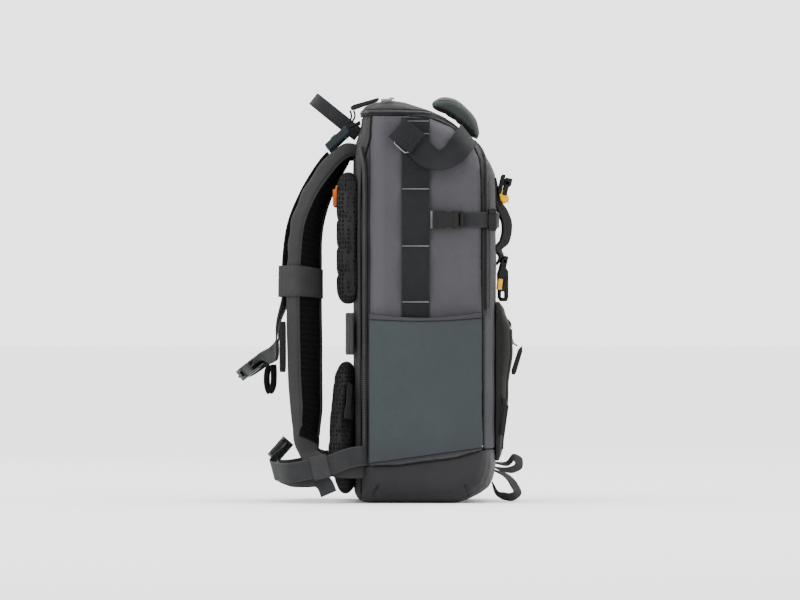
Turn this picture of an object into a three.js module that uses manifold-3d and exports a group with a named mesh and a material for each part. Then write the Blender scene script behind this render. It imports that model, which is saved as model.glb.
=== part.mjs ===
// A camera backpack as an assembly of separate solids, in millimetres, +Z up.
// The origin is the centre of the flat base. +X is the front of the bag, -X the side with the
// harness, and -Y the wearer's left.
import * as THREE from 'three';
import { mergeVertices } from 'three/addons/utils/BufferGeometryUtils.js';
import Module from 'manifold-3d';

const wasm = await Module();
wasm.setup();

// The bag
const BODY_HEIGHT = 527;
const BODY_DEPTH = 188;
const BODY_WIDTH = 300;
const EDGE_ROUND = 26;
const SIDE_WALL = 5;
const BACK_WALL = 10;
const BASE_WALL = 7;
const CLOTH = 2.5;
const SEAM_GAP = 0.3;
const SEAT_GAP = 0.3;

// The webbing
const WEB_THICK = 2;
const WEB_WIDE = 37;
const WEB_MEDIUM = 26;
const WEB_NARROW = 20;

// The harness
const HARNESS_REACH = 155;
const STRAP_WIDE = 66;
const STRAP_THICK = 22;
const KEEPER_LONG = 40;
const KEEPER_WALL = 2;
const BACK_PAD_THICK = 17.5;
const BACK_PAD_WIDE = 116;
const BACK_PAD_CHANNEL = 24;
const HIP_PAD_THICK = 18;
const HIP_PAD_HIGH = 0.3454 * BODY_HEIGHT;
const GRAB_REACH = 62;
const GRAB_HALF = 38;

// The fittings
const BUCKLE_LONG = 58;
const BUCKLE_WIDE = 32;
const BUCKLE_THICK = 12;
const STERNUM_BUCKLE_SCALE = 0.82;
const D_RING_WIRE = 3;
const D_RING_WIDE = 36;
const D_RING_HIGH = 26;
const POCKET_BULGE = 12;
const FRONT_POCKET_WIDE = 212;
const FRONT_POCKET_HIGH = 0.3947 * BODY_HEIGHT;
const FRONT_POCKET_MIDDLE = 0.3 * BODY_HEIGHT;
const FRONT_POCKET_DEEP = 19;
const DAISY_BULGE = 5;
const HANDLE_LONG = 150;
const HANDLE_RISE = 12;
const HOOK_SPREAD = 55;
const CLIP_LONG = 46;
const CLIP_DEEP = 14;
const CLIP_WIDE = 22;
const CLIP_STAND = 8.5;
const CLIP_CLEAR = 0.6;
const PULL_STAND = 8.4;
const PULL_WIDE = 8;
const HIP_KEEPER_LONG = 22;
const HIP_KEEPER_WALL = 1.6;

const HALF = BODY_WIDTH / 2;
const BACK = -BODY_DEPTH / 2;
const FRONT = BODY_DEPTH / 2;
const degrees = Math.PI / 180;

const point = (x, y, z) => new THREE.Vector3(x, y, z);
const deepAt = (share) => BACK + share * BODY_DEPTH;
const highAt = (share) => share * BODY_HEIGHT;
const onHarness = ({ out, side, high }) => point(BACK - out * HARNESS_REACH, -side * HALF, highAt(high));

// Solids from rings of points

function flatten(ring) {
  const normal = point(0, 0, 0);
  ring.forEach((here, i) => {
    const next = ring[(i + 1) % ring.length];
    normal.x += (here.y - next.y) * (here.z + next.z);
    normal.y += (here.z - next.z) * (here.x + next.x);
    normal.z += (here.x - next.x) * (here.y + next.y);
  });
  normal.normalize();
  const right = point(1, 0, 0);
  if (Math.abs(normal.x) > 0.8) right.set(0, 1, 0);
  right.cross(normal).normalize();
  const up = normal.clone().cross(right);
  return ring.map((p) => new THREE.Vector2(p.dot(right), p.dot(up)));
}

function capFaces(ring, first) {
  const flat = flatten(ring);
  return THREE.ShapeUtils.triangulateShape(flat, []).map(([a, b, c]) => {
    const turn = flat[b].clone().sub(flat[a]).cross(flat[c].clone().sub(flat[a]));
    return turn > 0 ? [first + a, first + b, first + c] : [first + a, first + c, first + b];
  });
}

function loft(rings) {
  const count = rings[0].length;
  const last = (rings.length - 1) * count;
  const faces = capFaces(rings[0], 0).map(([a, b, c]) => [a, c, b]);
  faces.push(...capFaces(rings[rings.length - 1], last));
  for (let start = 0; start < last; start += count) {
    for (let i = 0; i < count; i += 1) {
      const a = start + i;
      const b = start + ((i + 1) % count);
      faces.push([a, b, b + count], [a, b + count, a + count]);
    }
  }
  return outward(rings.flat(), faces);
}

function outward(corners, faces) {
  let volume = 0;
  faces.forEach(([a, b, c]) => {
    volume += corners[a].dot(corners[b].clone().cross(corners[c]));
  });
  const order = volume < 0 ? faces.map(([a, b, c]) => [a, c, b]) : faces;
  const geometry = new THREE.BufferGeometry();
  geometry.setAttribute('position', new THREE.Float32BufferAttribute(corners.flatMap((p) => [p.x, p.y, p.z]), 3));
  geometry.setIndex(order.flat());
  return geometry;
}

// The geometry with its positions alone and its shared corners merged.
function plain(geometry) {
  const bare = geometry.clone();
  bare.deleteAttribute('normal');
  bare.deleteAttribute('uv');
  return mergeVertices(bare, 1e-4);
}

function solid(geometry) {
  const merged = plain(geometry);
  return new wasm.Manifold(new wasm.Mesh({
    numProp: 3,
    vertProperties: new Float32Array(merged.attributes.position.array),
    triVerts: new Uint32Array(merged.index.array),
  }));
}

function shape(manifold) {
  const mesh = manifold.getMesh();
  const geometry = new THREE.BufferGeometry();
  geometry.setAttribute('position', new THREE.BufferAttribute(mesh.vertProperties, 3));
  geometry.setIndex(new THREE.BufferAttribute(mesh.triVerts, 1));
  return geometry;
}

function mirrored(geometry) {
  const copy = plain(geometry);
  const places = copy.attributes.position;
  for (let i = 0; i < places.count; i += 1) places.setY(i, -places.getY(i));
  const order = Array.from(copy.index.array);
  for (let i = 0; i < order.length; i += 3) [order[i + 1], order[i + 2]] = [order[i + 2], order[i + 1]];
  copy.setIndex(order);
  return copy;
}

// A section of a strap or pad: [along the width, along the thickness]
function section(wide, thick, round = 0, steps = 2) {
  if (!round) {
    return [[wide / 2, thick / 2], [-wide / 2, thick / 2], [-wide / 2, -thick / 2], [wide / 2, -thick / 2]];
  }
  const corners = [[1, 1], [-1, 1], [-1, -1], [1, -1]];
  return corners.flatMap(([a, b], quarter) => Array.from({ length: steps + 1 }, (_, i) => {
    const angle = (quarter + i / steps) * 90 * degrees;
    return [
      a * (wide / 2 - round) + round * Math.cos(angle),
      b * (thick / 2 - round) + round * Math.sin(angle),
    ];
  }));
}

// A band swept through rows of { at, across, wide, thick }, smoothed to the given number of steps.
function band(rows, { steps, round = 0, corner = 2 }) {
  const route = new THREE.CatmullRomCurve3(rows.map((row) => row.at), false, 'centripetal');
  const stations = Array.from({ length: steps + 1 }, (_, i) => i / steps);
  return loft(stations.map((t) => {
    const along = t * (rows.length - 1);
    const i = Math.min(Math.floor(along), rows.length - 2);
    const [from, to, mix] = [rows[i], rows[i + 1], along - i];
    const blend = (key) => from[key] + (to[key] - from[key]) * mix;
    const tangent = route.getTangent(t);
    const across = from.across.clone().lerp(to.across, mix);
    across.addScaledVector(tangent, -across.dot(tangent)).normalize();
    const normal = tangent.clone().cross(across);
    const at = route.getPoint(t);
    return section(blend('wide'), blend('thick'), round * Math.min(1, blend('thick') / rows[0].full), corner)
      .map(([a, b]) => at.clone().addScaledVector(across, a).addScaledVector(normal, b));
  }));
}

// Flat webbing through points, each with the direction of its width.
function webbing(points, wide, steps, thick = WEB_THICK) {
  return band(points.map(({ at, across }) => ({ at, across, wide, thick, full: thick })), { steps });
}

function box(wideX, wideY, wideZ) {
  return new THREE.BoxGeometry(wideX, wideY, wideZ);
}

// A flat plate of an outline with holes, its thickness centred on the local XY plane.
function plate(outline, holes, thick) {
  const face = new THREE.Shape(outline.map(([x, y]) => new THREE.Vector2(x, y)));
  holes.forEach((hole) => face.holes.push(new THREE.Path(hole.map(([x, y]) => new THREE.Vector2(x, y)))));
  const bevel = { bevelEnabled: false, depth: thick, curveSegments: 3 };
  return new THREE.ExtrudeGeometry(face, bevel).translate(0, 0, -thick / 2);
}

// Puts a local shape in place: its own X along `along`, its own Z close to `facing`.
function placed(geometry, at, along, facing) {
  const x = along.clone().normalize();
  const y = facing.clone().cross(x).normalize();
  const z = x.clone().cross(y);
  return geometry.applyMatrix4(new THREE.Matrix4().makeBasis(x, y, z).setPosition(at));
}

// The form of the bag

// The bag from its side: shares of its depth and height.
const SIDE_OUTLINE = [
  { deep: 0.717, high: 0 }, { deep: 0.083, high: 0 }, { deep: 0.031, high: 0.006 },
  { deep: 0.007, high: 0.022 }, { deep: 0, high: 0.048 }, { deep: 0, high: 0.852 },
  { deep: 0.014, high: 0.889 }, { deep: 0.041, high: 0.919 }, { deep: 0.058, high: 0.943 },
  { deep: 0.05, high: 0.968 }, { deep: 0.078, high: 0.984 }, { deep: 0.145, high: 0.995 },
  { deep: 0.262, high: 1 }, { deep: 0.359, high: 0.995 }, { deep: 0.448, high: 0.985 },
  { deep: 0.538, high: 0.974 }, { deep: 0.641, high: 0.956 }, { deep: 0.724, high: 0.933 },
  { deep: 0.814, high: 0.909 }, { deep: 0.876, high: 0.888 }, { deep: 0.924, high: 0.864 },
  { deep: 0.966, high: 0.84 }, { deep: 0.993, high: 0.815 }, { deep: 1, high: 0.783 },
  { deep: 1, high: 0.12 }, { deep: 0.997, high: 0.0875 }, { deep: 0.979, high: 0.058 },
  { deep: 0.952, high: 0.038 }, { deep: 0.89, high: 0.022 }, { deep: 0.807, high: 0.008 },
];

// How the outline draws in towards the sides: shares of the half width and of the edge's rounding.
const SIDE_SECTIONS = [
  { wide: 0, edge: 0, hem: 0 }, { wide: 0.467, edge: 0.06, hem: 0 }, { wide: 0.733, edge: 0.15, hem: 0 },
  { wide: 0.853, edge: 0.31, hem: 0.1 }, { wide: 0.933, edge: 0.54, hem: 0.3 },
  { wide: 0.98, edge: 0.77, hem: 0.6 }, { wide: 1, edge: 1, hem: 1 },
];

function bodyForm({ back, front, foot, top, half }) {
  const far = SIDE_SECTIONS.slice(1).reverse().map((row) => ({ ...row, wide: -row.wide }));
  return loft([...far, ...SIDE_SECTIONS].map(({ wide, edge, hem }) => SIDE_OUTLINE.map(({ deep, high }) => {
    const draw = edge * EDGE_ROUND;
    const lift = hem * EDGE_ROUND;
    return point(
      back + draw + deep * (front - back - 2 * draw),
      wide * half,
      foot + lift + high * (top - foot - lift - draw),
    );
  })));
}

const outerForm = solid(bodyForm({ back: BACK, front: FRONT, foot: 0, top: BODY_HEIGHT, half: HALF }));
const innerForm = solid(bodyForm({
  back: BACK + BACK_WALL,
  front: FRONT - SIDE_WALL,
  foot: BASE_WALL,
  top: BODY_HEIGHT - SIDE_WALL,
  half: HALF - SIDE_WALL,
}));
const seatForm = solid(bodyForm({
  back: BACK - SEAT_GAP,
  front: FRONT + SEAT_GAP,
  foot: -SEAT_GAP,
  top: BODY_HEIGHT + SEAT_GAP,
  half: HALF + SEAT_GAP,
}));
const shell = outerForm.subtract(innerForm);

// The seams between the panels, seen from the side.
const LID_SEAM = [
  { deep: -0.4, high: 0.957 }, { deep: 0.26, high: 0.957 }, { deep: 0.365, high: 0.956 },
  { deep: 0.54, high: 0.951 }, { deep: 0.68, high: 0.929 }, { deep: 0.738, high: 0.9125 },
];
const LID_FRONT_SEAM = [{ deep: 0.738, high: 0.9125 }, { deep: 1.3, high: 1.16 }];
const FRONT_SEAM = [
  { deep: 0.738, high: 0.9125 }, { deep: 0.786, high: 0.899 }, { deep: 0.841, high: 0.879 },
  { deep: 0.876, high: 0.847 }, { deep: 0.893, high: 0.773 }, { deep: 0.897, high: 0.132 },
];
const BASE_SEAM = [
  { deep: 0.062, high: 0.0925 }, { deep: 0.3, high: 0.0925 }, { deep: 0.5, high: 0.1025 },
  { deep: 0.71, high: 0.112 }, { deep: 0.897, high: 0.132 }, { deep: 1.3, high: 0.14 },
];
const REAR_SEAM = [
  { deep: 0.062, high: -0.1 }, { deep: 0.062, high: 0.78 }, { deep: 0.075, high: 0.84 },
  { deep: 0.131, high: 0.9 }, { deep: 0.131, high: 0.957 },
];
const BEYOND = { low: -0.1, high: 1.2, back: -0.4, front: 1.3 };

const seamPoint = ({ deep, high }, y) => point(deepAt(deep), y, highAt(high));

// A solid over an area of the side view, from one y to another.
function area(corners, fromY, toY) {
  return solid(loft([fromY, toY].map((y) => corners.map((corner) => seamPoint(corner, y)))));
}

// A thin sheet along a seam, right through the bag.
function groove(seam) {
  const ring = (y) => {
    const line = seam.map((corner) => seamPoint(corner, y));
    const offset = (sign) => line.map((here, i) => {
      const before = line[Math.max(i - 1, 0)];
      const after = line[Math.min(i + 1, line.length - 1)];
      const along = after.clone().sub(before).normalize();
      return here.clone().add(point(along.z, 0, -along.x).multiplyScalar((sign * SEAM_GAP) / 2));
    });
    return [...offset(1), ...offset(-1).reverse()];
  };
  return solid(loft([ring(-BODY_WIDTH), ring(BODY_WIDTH)]));
}

const grooves = [LID_SEAM, LID_FRONT_SEAM, FRONT_SEAM, BASE_SEAM, REAR_SEAM].map(groove);
const seamed = grooves.reduce((rest, sheet) => rest.subtract(sheet), shell);
const reversed = (list) => [...list].reverse();
const joint = LID_SEAM[LID_SEAM.length - 1];
const rearTop = REAR_SEAM[REAR_SEAM.length - 1];
const lidOver = LID_SEAM.filter(({ deep }) => deep > rearTop.deep);

const lidArea = [
  ...LID_SEAM, LID_FRONT_SEAM[1], { deep: BEYOND.front, high: BEYOND.high },
  { deep: BEYOND.back, high: BEYOND.high },
];
const frontArea = [
  LID_FRONT_SEAM[1], ...FRONT_SEAM, ...BASE_SEAM.slice(-1),
];
const baseArea = [
  ...BASE_SEAM, { deep: BEYOND.front, high: BEYOND.low }, { deep: REAR_SEAM[0].deep, high: BEYOND.low },
];
const backArea = [
  ...REAR_SEAM, { deep: BEYOND.back, high: rearTop.high }, { deep: BEYOND.back, high: BEYOND.low },
];
const sideArea = [
  ...BASE_SEAM.slice(0, -1), ...reversed(FRONT_SEAM.slice(1, -1)), joint, ...reversed(lidOver).slice(1),
  ...reversed(REAR_SEAM.slice(1)),
];
const panel = (corners, fromY, toY) => shape(seamed.intersect(area(corners, fromY, toY)));
const seated = (geometry, ...others) => shape(
  others.reduce((rest, other) => rest.subtract(other), solid(geometry).subtract(seatForm)),
);

// The pads and the hip belt

// A pillow on the back of the bag: rings of a rounded outline, drawn in as it rises.
const PILLOW = [
  { rise: -0.45, draw: 0 }, { rise: 0.5, draw: 0.02 }, { rise: 0.82, draw: 0.3 }, { rise: 1, draw: 0.85 },
];

function pillow({ wide, high, thick, round, away, centre }) {
  return loft(PILLOW.map(({ rise, draw }) => {
    const inset = draw * thick;
    return section(wide - 2 * inset, high - 2 * inset, round, 3)
      .map(([a, b]) => point(centre.x + away * rise * thick, centre.y + a, centre.z + b));
  }));
}

const BACK_PAD_LOW = 0.487;
const BACK_PAD_TOP = 0.822;

function backPad() {
  return seated(pillow({
    wide: BACK_PAD_WIDE,
    high: highAt(BACK_PAD_TOP - BACK_PAD_LOW),
    thick: BACK_PAD_THICK,
    round: 18,
    away: -1,
    centre: point(BACK, -(BACK_PAD_CHANNEL + BACK_PAD_WIDE) / 2, highAt((BACK_PAD_TOP + BACK_PAD_LOW) / 2)),
  }));
}

// The hip pad from its middle to its tip: out from the bag, sideways, and its low and high edges
// as shares of its height.
const HIP_PAD = [
  { out: 0.5, side: 0, low: 0.03, top: 0.96 }, { out: 0.5, side: 0.4, low: 0.01, top: 0.98 },
  { out: 0.62, side: 0.64, low: 0, top: 1 }, { out: 0.86, side: 0.79, low: 0.05, top: 0.97 },
  { out: 1.12, side: 0.86, low: 0.13, top: 0.9 }, { out: 1.34, side: 0.895, low: 0.22, top: 0.82 },
];
const HIP_PAD_FOOT = 7;

function hipPad() {
  const rows = HIP_PAD.map(({ out, side, low, top }) => ({
    at: point(BACK - out * HIP_PAD_THICK, -side * HALF, HIP_PAD_FOOT + (HIP_PAD_HIGH * (low + top)) / 2),
    across: point(0, 0, 1),
    wide: HIP_PAD_HIGH * (top - low),
    thick: HIP_PAD_THICK,
    full: HIP_PAD_THICK,
  }));
  const far = reversed(rows.slice(1)).map((row) => ({ ...row, at: row.at.clone().setY(-row.at.y) }));
  return seated(band([...far, ...rows], { steps: 26, round: 8.5 }));
}

const TROLLEY_LOW = 0.366;
const TROLLEY_TOP = 0.47;
const TROLLEY_STAND = 7;

function trolleyStrap() {
  const rows = [
    { side: -0.82, out: -1.4 }, { side: -0.6, out: 1 }, { side: 0, out: 1 }, { side: 0.6, out: 1 }, { side: 0.82, out: -1.4 },
  ];
  return seated(webbing(rows.map(({ side, out }) => ({
    at: point(BACK - SEAT_GAP - out * TROLLEY_STAND, side * HALF, highAt((TROLLEY_LOW + TROLLEY_TOP) / 2)),
    across: point(0, 0, 1),
  })), highAt(TROLLEY_TOP - TROLLEY_LOW), 12));
}

// The hip strap from the side of the bag to the buckle.
const HIP_LEAN = point(-0.25, 0, 0.97);
const HIP_STRAP = [
  { out: -0.118, side: 0.968, high: 0.118 }, { out: 0.02, side: 1.025, high: 0.113 },
  { out: 0.193, side: 1.06, high: 0.095 }, { out: 0.394, side: 1.035, high: 0.082 },
  { out: 0.537, side: 0.935, high: 0.075 }, { out: 0.63, side: 0.7, high: 0.077 },
  { out: 0.68, side: 0.42, high: 0.084 },
];
const HIP_TAIL = [
  { out: 0.643, side: 0.4, high: 0.07, lean: 0 }, { out: 0.6, side: 0.68, high: 0.066, lean: 0 },
  { out: 0.51, side: 0.89, high: 0.06, lean: 0 }, { out: 0.39, side: 0.995, high: 0.06, lean: 0 },
  { out: 0.29, side: 1.005, high: 0.06, lean: 0 }, { out: 0.235, side: 1.005, high: 0.047, lean: 0.6 },
  { out: 0.2, side: 1.005, high: 0.023, lean: 1 },
];

function hipStrap(place) {
  const rows = HIP_STRAP.map((row) => ({ at: onHarness(row), across: HIP_LEAN }));
  const across = place.facing.clone().cross(place.along).normalize().negate();
  const end = endOf(place, -1);
  rows.push({ at: end.clone().addScaledVector(place.along, -8), across }, { at: end, across });
  return seated(webbing(rows, WEB_MEDIUM, 22));
}

function hipTail() {
  const end = point(0.94, 0, 0.35);
  return webbing(HIP_TAIL.map((row) => ({
    at: onHarness(row),
    across: HIP_LEAN.clone().lerp(end, row.lean),
  })), WEB_MEDIUM * 0.84, 18);
}

// A flat sleeve of webbing round a strap.
function sleeve(wide, thick, long, wall = KEEPER_WALL) {
  const ring = (w, t, l) => loft([-l / 2, l / 2].map((x) => section(w, t, Math.min(w, t) / 2.2, 2)
    .map(([a, b]) => point(x, a, b))));
  return shape(solid(ring(wide + 2 * wall, thick + 2 * wall, long)).subtract(solid(ring(wide, thick, long * 2))));
}

function hipKeeper() {
  const inside = WEB_THICK + 2;
  return placed(sleeve(WEB_MEDIUM + 2, inside, HIP_KEEPER_LONG, HIP_KEEPER_WALL), onHarness({ out: 0.272, side: 1.056, high: 0.0895 }),
    point(1, -0.09, 0.24), point(0, -1, 0));
}

// A fastened side-release buckle along its own X: the socket and the plug in it.
const SOCKET_OUTLINE = [
  [0.5, 0.4], [0.46, 0.5], [0.12, 0.5], [0.02, 0.42], [-0.02, 0.42],
  [-0.02, -0.42], [0.02, -0.42], [0.12, -0.5], [0.46, -0.5], [0.5, -0.4],
];
const PLUG_OUTLINE = [
  [-0.07, 0.44], [-0.12, 0.5], [-0.4, 0.46], [-0.5, 0.38], [-0.5, -0.38], [-0.4, -0.46], [-0.12, -0.5], [-0.07, -0.44],
];

function buckle(scale) {
  const [long, wide, thick] = [BUCKLE_LONG, BUCKLE_WIDE, BUCKLE_THICK].map((size) => size * scale);
  const sized = (list) => list.map(([x, y]) => [x * long, y * wide]);
  const slot = (from, to, half) => sized([[from, -half], [to, -half], [to, half], [from, half]]);
  const body = solid(plate(sized(SOCKET_OUTLINE), [slot(0.38, 0.44, 0.3)], thick));
  const mouth = solid(box(long * 0.5, wide * 0.62, thick * 0.46).translate(long * 0.06, 0, 0));
  const windows = solid(box(long * 0.16, wide * 1.2, thick * 0.5).translate(long * 0.18, 0, 0));
  const tongue = solid(box(long * 0.36, wide * 0.5, thick * 0.32).translate(long * 0.09, 0, 0));
  const base = solid(plate(sized(PLUG_OUTLINE), [slot(-0.42, -0.34, 0.3)], thick * 0.8));
  return { socket: shape(body.subtract(mouth).subtract(windows)), plug: shape(base.add(tongue)) };
}

// The shoulder straps and the straps on them

// The centre line of a shoulder strap, its width and thickness, and how far it turns about itself.
const SHOULDER = [
  { out: -0.025, side: 0.4, high: 0.869, wide: 0.75, thick: 0.8, turn: 4 },
  { out: 0.05, side: 0.41, high: 0.869, wide: 0.85, thick: 0.9, turn: 6 },
  { out: 0.136, side: 0.42, high: 0.847, wide: 0.9, thick: 1, turn: 10 },
  { out: 0.232, side: 0.44, high: 0.803, wide: 0.95, thick: 1, turn: 15 },
  { out: 0.327, side: 0.49, high: 0.748, wide: 1, thick: 1, turn: 20 },
  { out: 0.396, side: 0.54, high: 0.68, wide: 1, thick: 1, turn: 25 },
  { out: 0.415, side: 0.58, high: 0.596, wide: 1, thick: 1, turn: 28 },
  { out: 0.419, side: 0.6, high: 0.502, wide: 1, thick: 1, turn: 29 },
  { out: 0.415, side: 0.62, high: 0.403, wide: 1, thick: 1, turn: 29 },
  { out: 0.41, side: 0.64, high: 0.305, wide: 0.95, thick: 1, turn: 29 },
  { out: 0.4, side: 0.67, high: 0.231, wide: 0.85, thick: 0.95, turn: 30 },
  { out: 0.4, side: 0.71, high: 0.176, wide: 0.66, thick: 0.75, turn: 33 },
  { out: 0.378, side: 0.84, high: 0.127, wide: 0.42, thick: 0.35, turn: 50 },
  { out: 0.285, side: 0.965, high: 0.102, wide: 0.36, thick: 0.12, turn: 80 },
  { out: 0.12, side: 0.983, high: 0.086, wide: 0.36, thick: 0.11, turn: 90 },
  { out: -0.1, side: 0.93, high: 0.084, wide: 0.36, thick: 0.11, turn: 90 },
];

function shoulderRows() {
  const route = new THREE.CatmullRomCurve3(SHOULDER.map(onHarness), false, 'centripetal');
  return SHOULDER.map((row, i) => {
    const tangent = route.getTangent(i / (SHOULDER.length - 1));
    const across = point(0, 1, 0).addScaledVector(tangent, -tangent.y).normalize();
    across.applyAxisAngle(tangent, row.turn * degrees);
    return {
      at: onHarness(row),
      across,
      outward: across.clone().cross(tangent),
      high: row.high,
      wide: row.wide * STRAP_WIDE,
      thick: row.thick * STRAP_THICK,
      full: STRAP_THICK,
    };
  });
}

const strapRows = shoulderRows();
const strapRoute = new THREE.CatmullRomCurve3(strapRows.map((row) => row.at), false, 'centripetal');
const shoulderForm = () => band(strapRows, { steps: 34, round: 8.5 });

// A place on the outer face of a shoulder strap: how high, how far off the face, how far to the side.
function onStrap({ high, stand = 0, shift = 0 }) {
  const i = strapRows.findIndex((row, k) => k > 0 && row.high <= high);
  const [above, below] = [strapRows[i - 1], strapRows[i]];
  const mix = (above.high - high) / (above.high - below.high);
  const t = (i - 1 + mix) / (strapRows.length - 1);
  const tangent = strapRoute.getTangent(t);
  const across = above.across.clone().lerp(below.across, mix);
  across.addScaledVector(tangent, -across.dot(tangent)).normalize();
  const outward = across.clone().cross(tangent);
  const thick = above.thick + (below.thick - above.thick) * mix;
  const at = strapRoute.getPoint(t)
    .addScaledVector(outward, thick / 2 + SEAT_GAP + stand)
    .addScaledVector(across, shift * STRAP_WIDE);
  return { at, across };
}

const RAIL_SHIFT = -0.27;
const RAIL = [
  { high: 0.846, stand: 0.4 }, { high: 0.83, stand: 1 }, { high: 0.815, stand: 1.2 }, { high: 0.79, stand: 1 },
  { high: 0.748, stand: 0.9 }, { high: 0.68, stand: 3 }, { high: 0.596, stand: 5.5 }, { high: 0.56, stand: 4.5 },
];

function strapRail() {
  return webbing(
    RAIL.map(({ high, stand }) => onStrap({ high, stand: stand + WEB_THICK / 2, shift: RAIL_SHIFT })),
    WEB_NARROW * 0.75,
    12,
  );
}

// A sleeve round the strap, with slack on the outside where the rail and the sternum strap go in.
const KEEPER_SLACK = 9;
const KEEPER_HIGH = 0.545;

function strapKeeper() {
  const sleeveForm = (grow, slack) => solid(band(strapRows.slice(5, 10).map((row) => ({
    ...row,
    at: row.at.clone().addScaledVector(row.outward, slack / 2),
    wide: row.wide + grow,
    thick: row.thick + grow + slack,
    full: row.full + slack,
  })), { steps: 5, round: 9 }));
  const cut = solid(box(2 * HARNESS_REACH, BODY_WIDTH, KEEPER_LONG)
    .translate(BACK - 0.4 * HARNESS_REACH, -HALF, highAt(KEEPER_HIGH)));
  const inside = 1.6;
  return shape(sleeveForm(inside + 2 * KEEPER_WALL, KEEPER_SLACK).intersect(cut)
    .subtract(sleeveForm(inside, KEEPER_SLACK)));
}

const LIFTER_SIDE = 0.47;

function loadLifter() {
  const rows = [{ out: -0.075, high: 0.949 }, { out: -0.045, high: 0.942 }, { out: 0.026, high: 0.9286 }];
  return seated(webbing(rows.map((row) => ({
    at: onHarness({ ...row, side: LIFTER_SIDE }), across: point(0, 1, 0),
  })), WEB_NARROW, 3, 3));
}

function lifterAdjuster() {
  const [long, wide, thick] = [38, 30, 9];
  const outline = [
    [-0.5, 0.34], [-0.42, 0.46], [0.3, 0.5], [0.5, 0.4], [0.5, -0.4], [0.3, -0.5], [-0.42, -0.46], [-0.5, -0.34],
  ];
  const slot = (from, to, half) => [[from, -half], [to, -half], [to, half], [from, half]];
  const sized = (list) => list.map(([x, y]) => [x * long, y * wide]);
  const frame = plate(sized(outline), [sized(slot(0.28, 0.38, 0.3)), sized(slot(-0.1, 0.08, 0.35))], thick);
  return placed(frame, onHarness({ out: 0.122, side: LIFTER_SIDE, high: 0.9007 }), point(0.74, 0, 0.67), point(-0.67, 0, 0.74));
}

// The sternum strap: out of the keeper on the shoulder strap, down its face and in to the buckle.
const STERNUM = [
  { out: 0.635, side: 0.7, high: 0.445, across: [0.1, 1, 0] }, { out: 0.645, side: 0.7, high: 0.4, across: [0, 1, 0.1] },
  { out: 0.67, side: 0.64, high: 0.372, across: [-0.4, 0.6, 0.6] },
  { out: 0.74, side: 0.42, high: 0.358, across: [-0.6, 0, 0.8] },
];
const STERNUM_TAIL = [
  { out: 0.7, high: 0.34 }, { out: 0.722, high: 0.325 }, { out: 0.724, high: 0.29 }, { out: 0.702, high: 0.272 },
  { out: 0.676, high: 0.285 }, { out: 0.668, high: 0.325 }, { out: 0.672, high: 0.342 },
];

const endOf = ({ at, along, long }, sign) => at.clone()
  .addScaledVector(along.clone().normalize(), sign * (long / 2 + SEAT_GAP));

function sternumStrap(side, place) {
  const turned = ({ x, y, z }) => point(x, -side * y, z);
  const entries = [0.55, 0.515].map((high) => onStrap({ high, stand: KEEPER_SLACK / 2, shift: RAIL_SHIFT }));
  const rows = [
    ...entries,
    ...STERNUM.map((row) => ({ at: onHarness(row), across: point(...row.across) })),
  ].map(({ at, across }) => ({ at: turned(at), across: turned(across).multiplyScalar(-side) }));
  const end = endOf(place, side);
  const across = place.facing.clone().cross(place.along).normalize();
  const last = rows[rows.length - 1].across;
  if (across.dot(last) < 0) across.negate();
  rows.push({ at: end.clone().addScaledVector(place.along.clone().normalize(), side * 9), across });
  rows.push({ at: end, across });
  return webbing(rows, WEB_NARROW, 16);
}

function sternumTail() {
  return webbing(STERNUM_TAIL.map((row) => ({
    at: onHarness({ ...row, side: 0.5 }), across: point(0, 1, 0),
  })), WEB_NARROW * 0.8, 14, 1.6);
}

function sternumElastic() {
  const [thick, wide, high] = [9, 22, 66];
  return loft([-0.5, -0.46, 0.46, 0.5].map((z) => {
    const draw = Math.abs(z) === 0.5 ? 2 : 0;
    return section(thick - draw, wide - draw, 3, 2)
      .map(([a, b]) => point(a, b, z * high).add(onHarness({ out: 0.59, side: 0.72, high: 0.386 })));
  }));
}

// The handles

function grabHandle() {
  const rows = [
    { reach: -0.02, side: 1 }, { reach: 0.2, side: 1 }, { reach: 0.65, side: 0.92 }, { reach: 0.92, side: 0.62 },
    { reach: 1, side: 0 }, { reach: 0.92, side: -0.62 }, { reach: 0.65, side: -0.92 }, { reach: 0.2, side: -1 },
    { reach: -0.02, side: -1 },
  ];
  const root = point(deepAt(0.03), 0, highAt(0.916));
  const way = point(-0.78, 0, 0.63);
  return seated(webbing(rows.map(({ reach, side }) => ({
    at: root.clone().addScaledVector(way, reach * (GRAB_REACH + 12)).setY(-side * GRAB_HALF),
    across: point(0.63, 0, 0.78),
  })), WEB_NARROW * 0.9, 22));
}

// The padded handle from the side: its outer and inner line, shares of the bag's depth and height.
const HANDLE_PROFILE = [
  { deep: 0.538, high: 0.991 }, { deep: 0.6, high: 0.998 }, { deep: 0.66, high: 0.998 }, { deep: 0.715, high: 0.992 },
  { deep: 0.76, high: 0.979 }, { deep: 0.815, high: 0.961 }, { deep: 0.862, high: 0.934 }, { deep: 0.876, high: 0.909 },
  { deep: 0.872, high: 0.898 }, { deep: 0.83, high: 0.918 }, { deep: 0.78, high: 0.938 }, { deep: 0.72, high: 0.956 },
  { deep: 0.65, high: 0.972 }, { deep: 0.59, high: 0.981 }, { deep: 0.538, high: 0.983 },
];
const HANDLE_STATIONS = [
  { along: -0.5, rise: -0.1, size: 0.9 }, { along: -0.46, rise: 0.1, size: 1 }, { along: -0.28, rise: 0.6, size: 1 },
  { along: 0, rise: 1, size: 1 }, { along: 0.28, rise: 0.6, size: 1 }, { along: 0.46, rise: 0.1, size: 1 },
  { along: 0.5, rise: -0.1, size: 0.9 },
];

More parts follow.
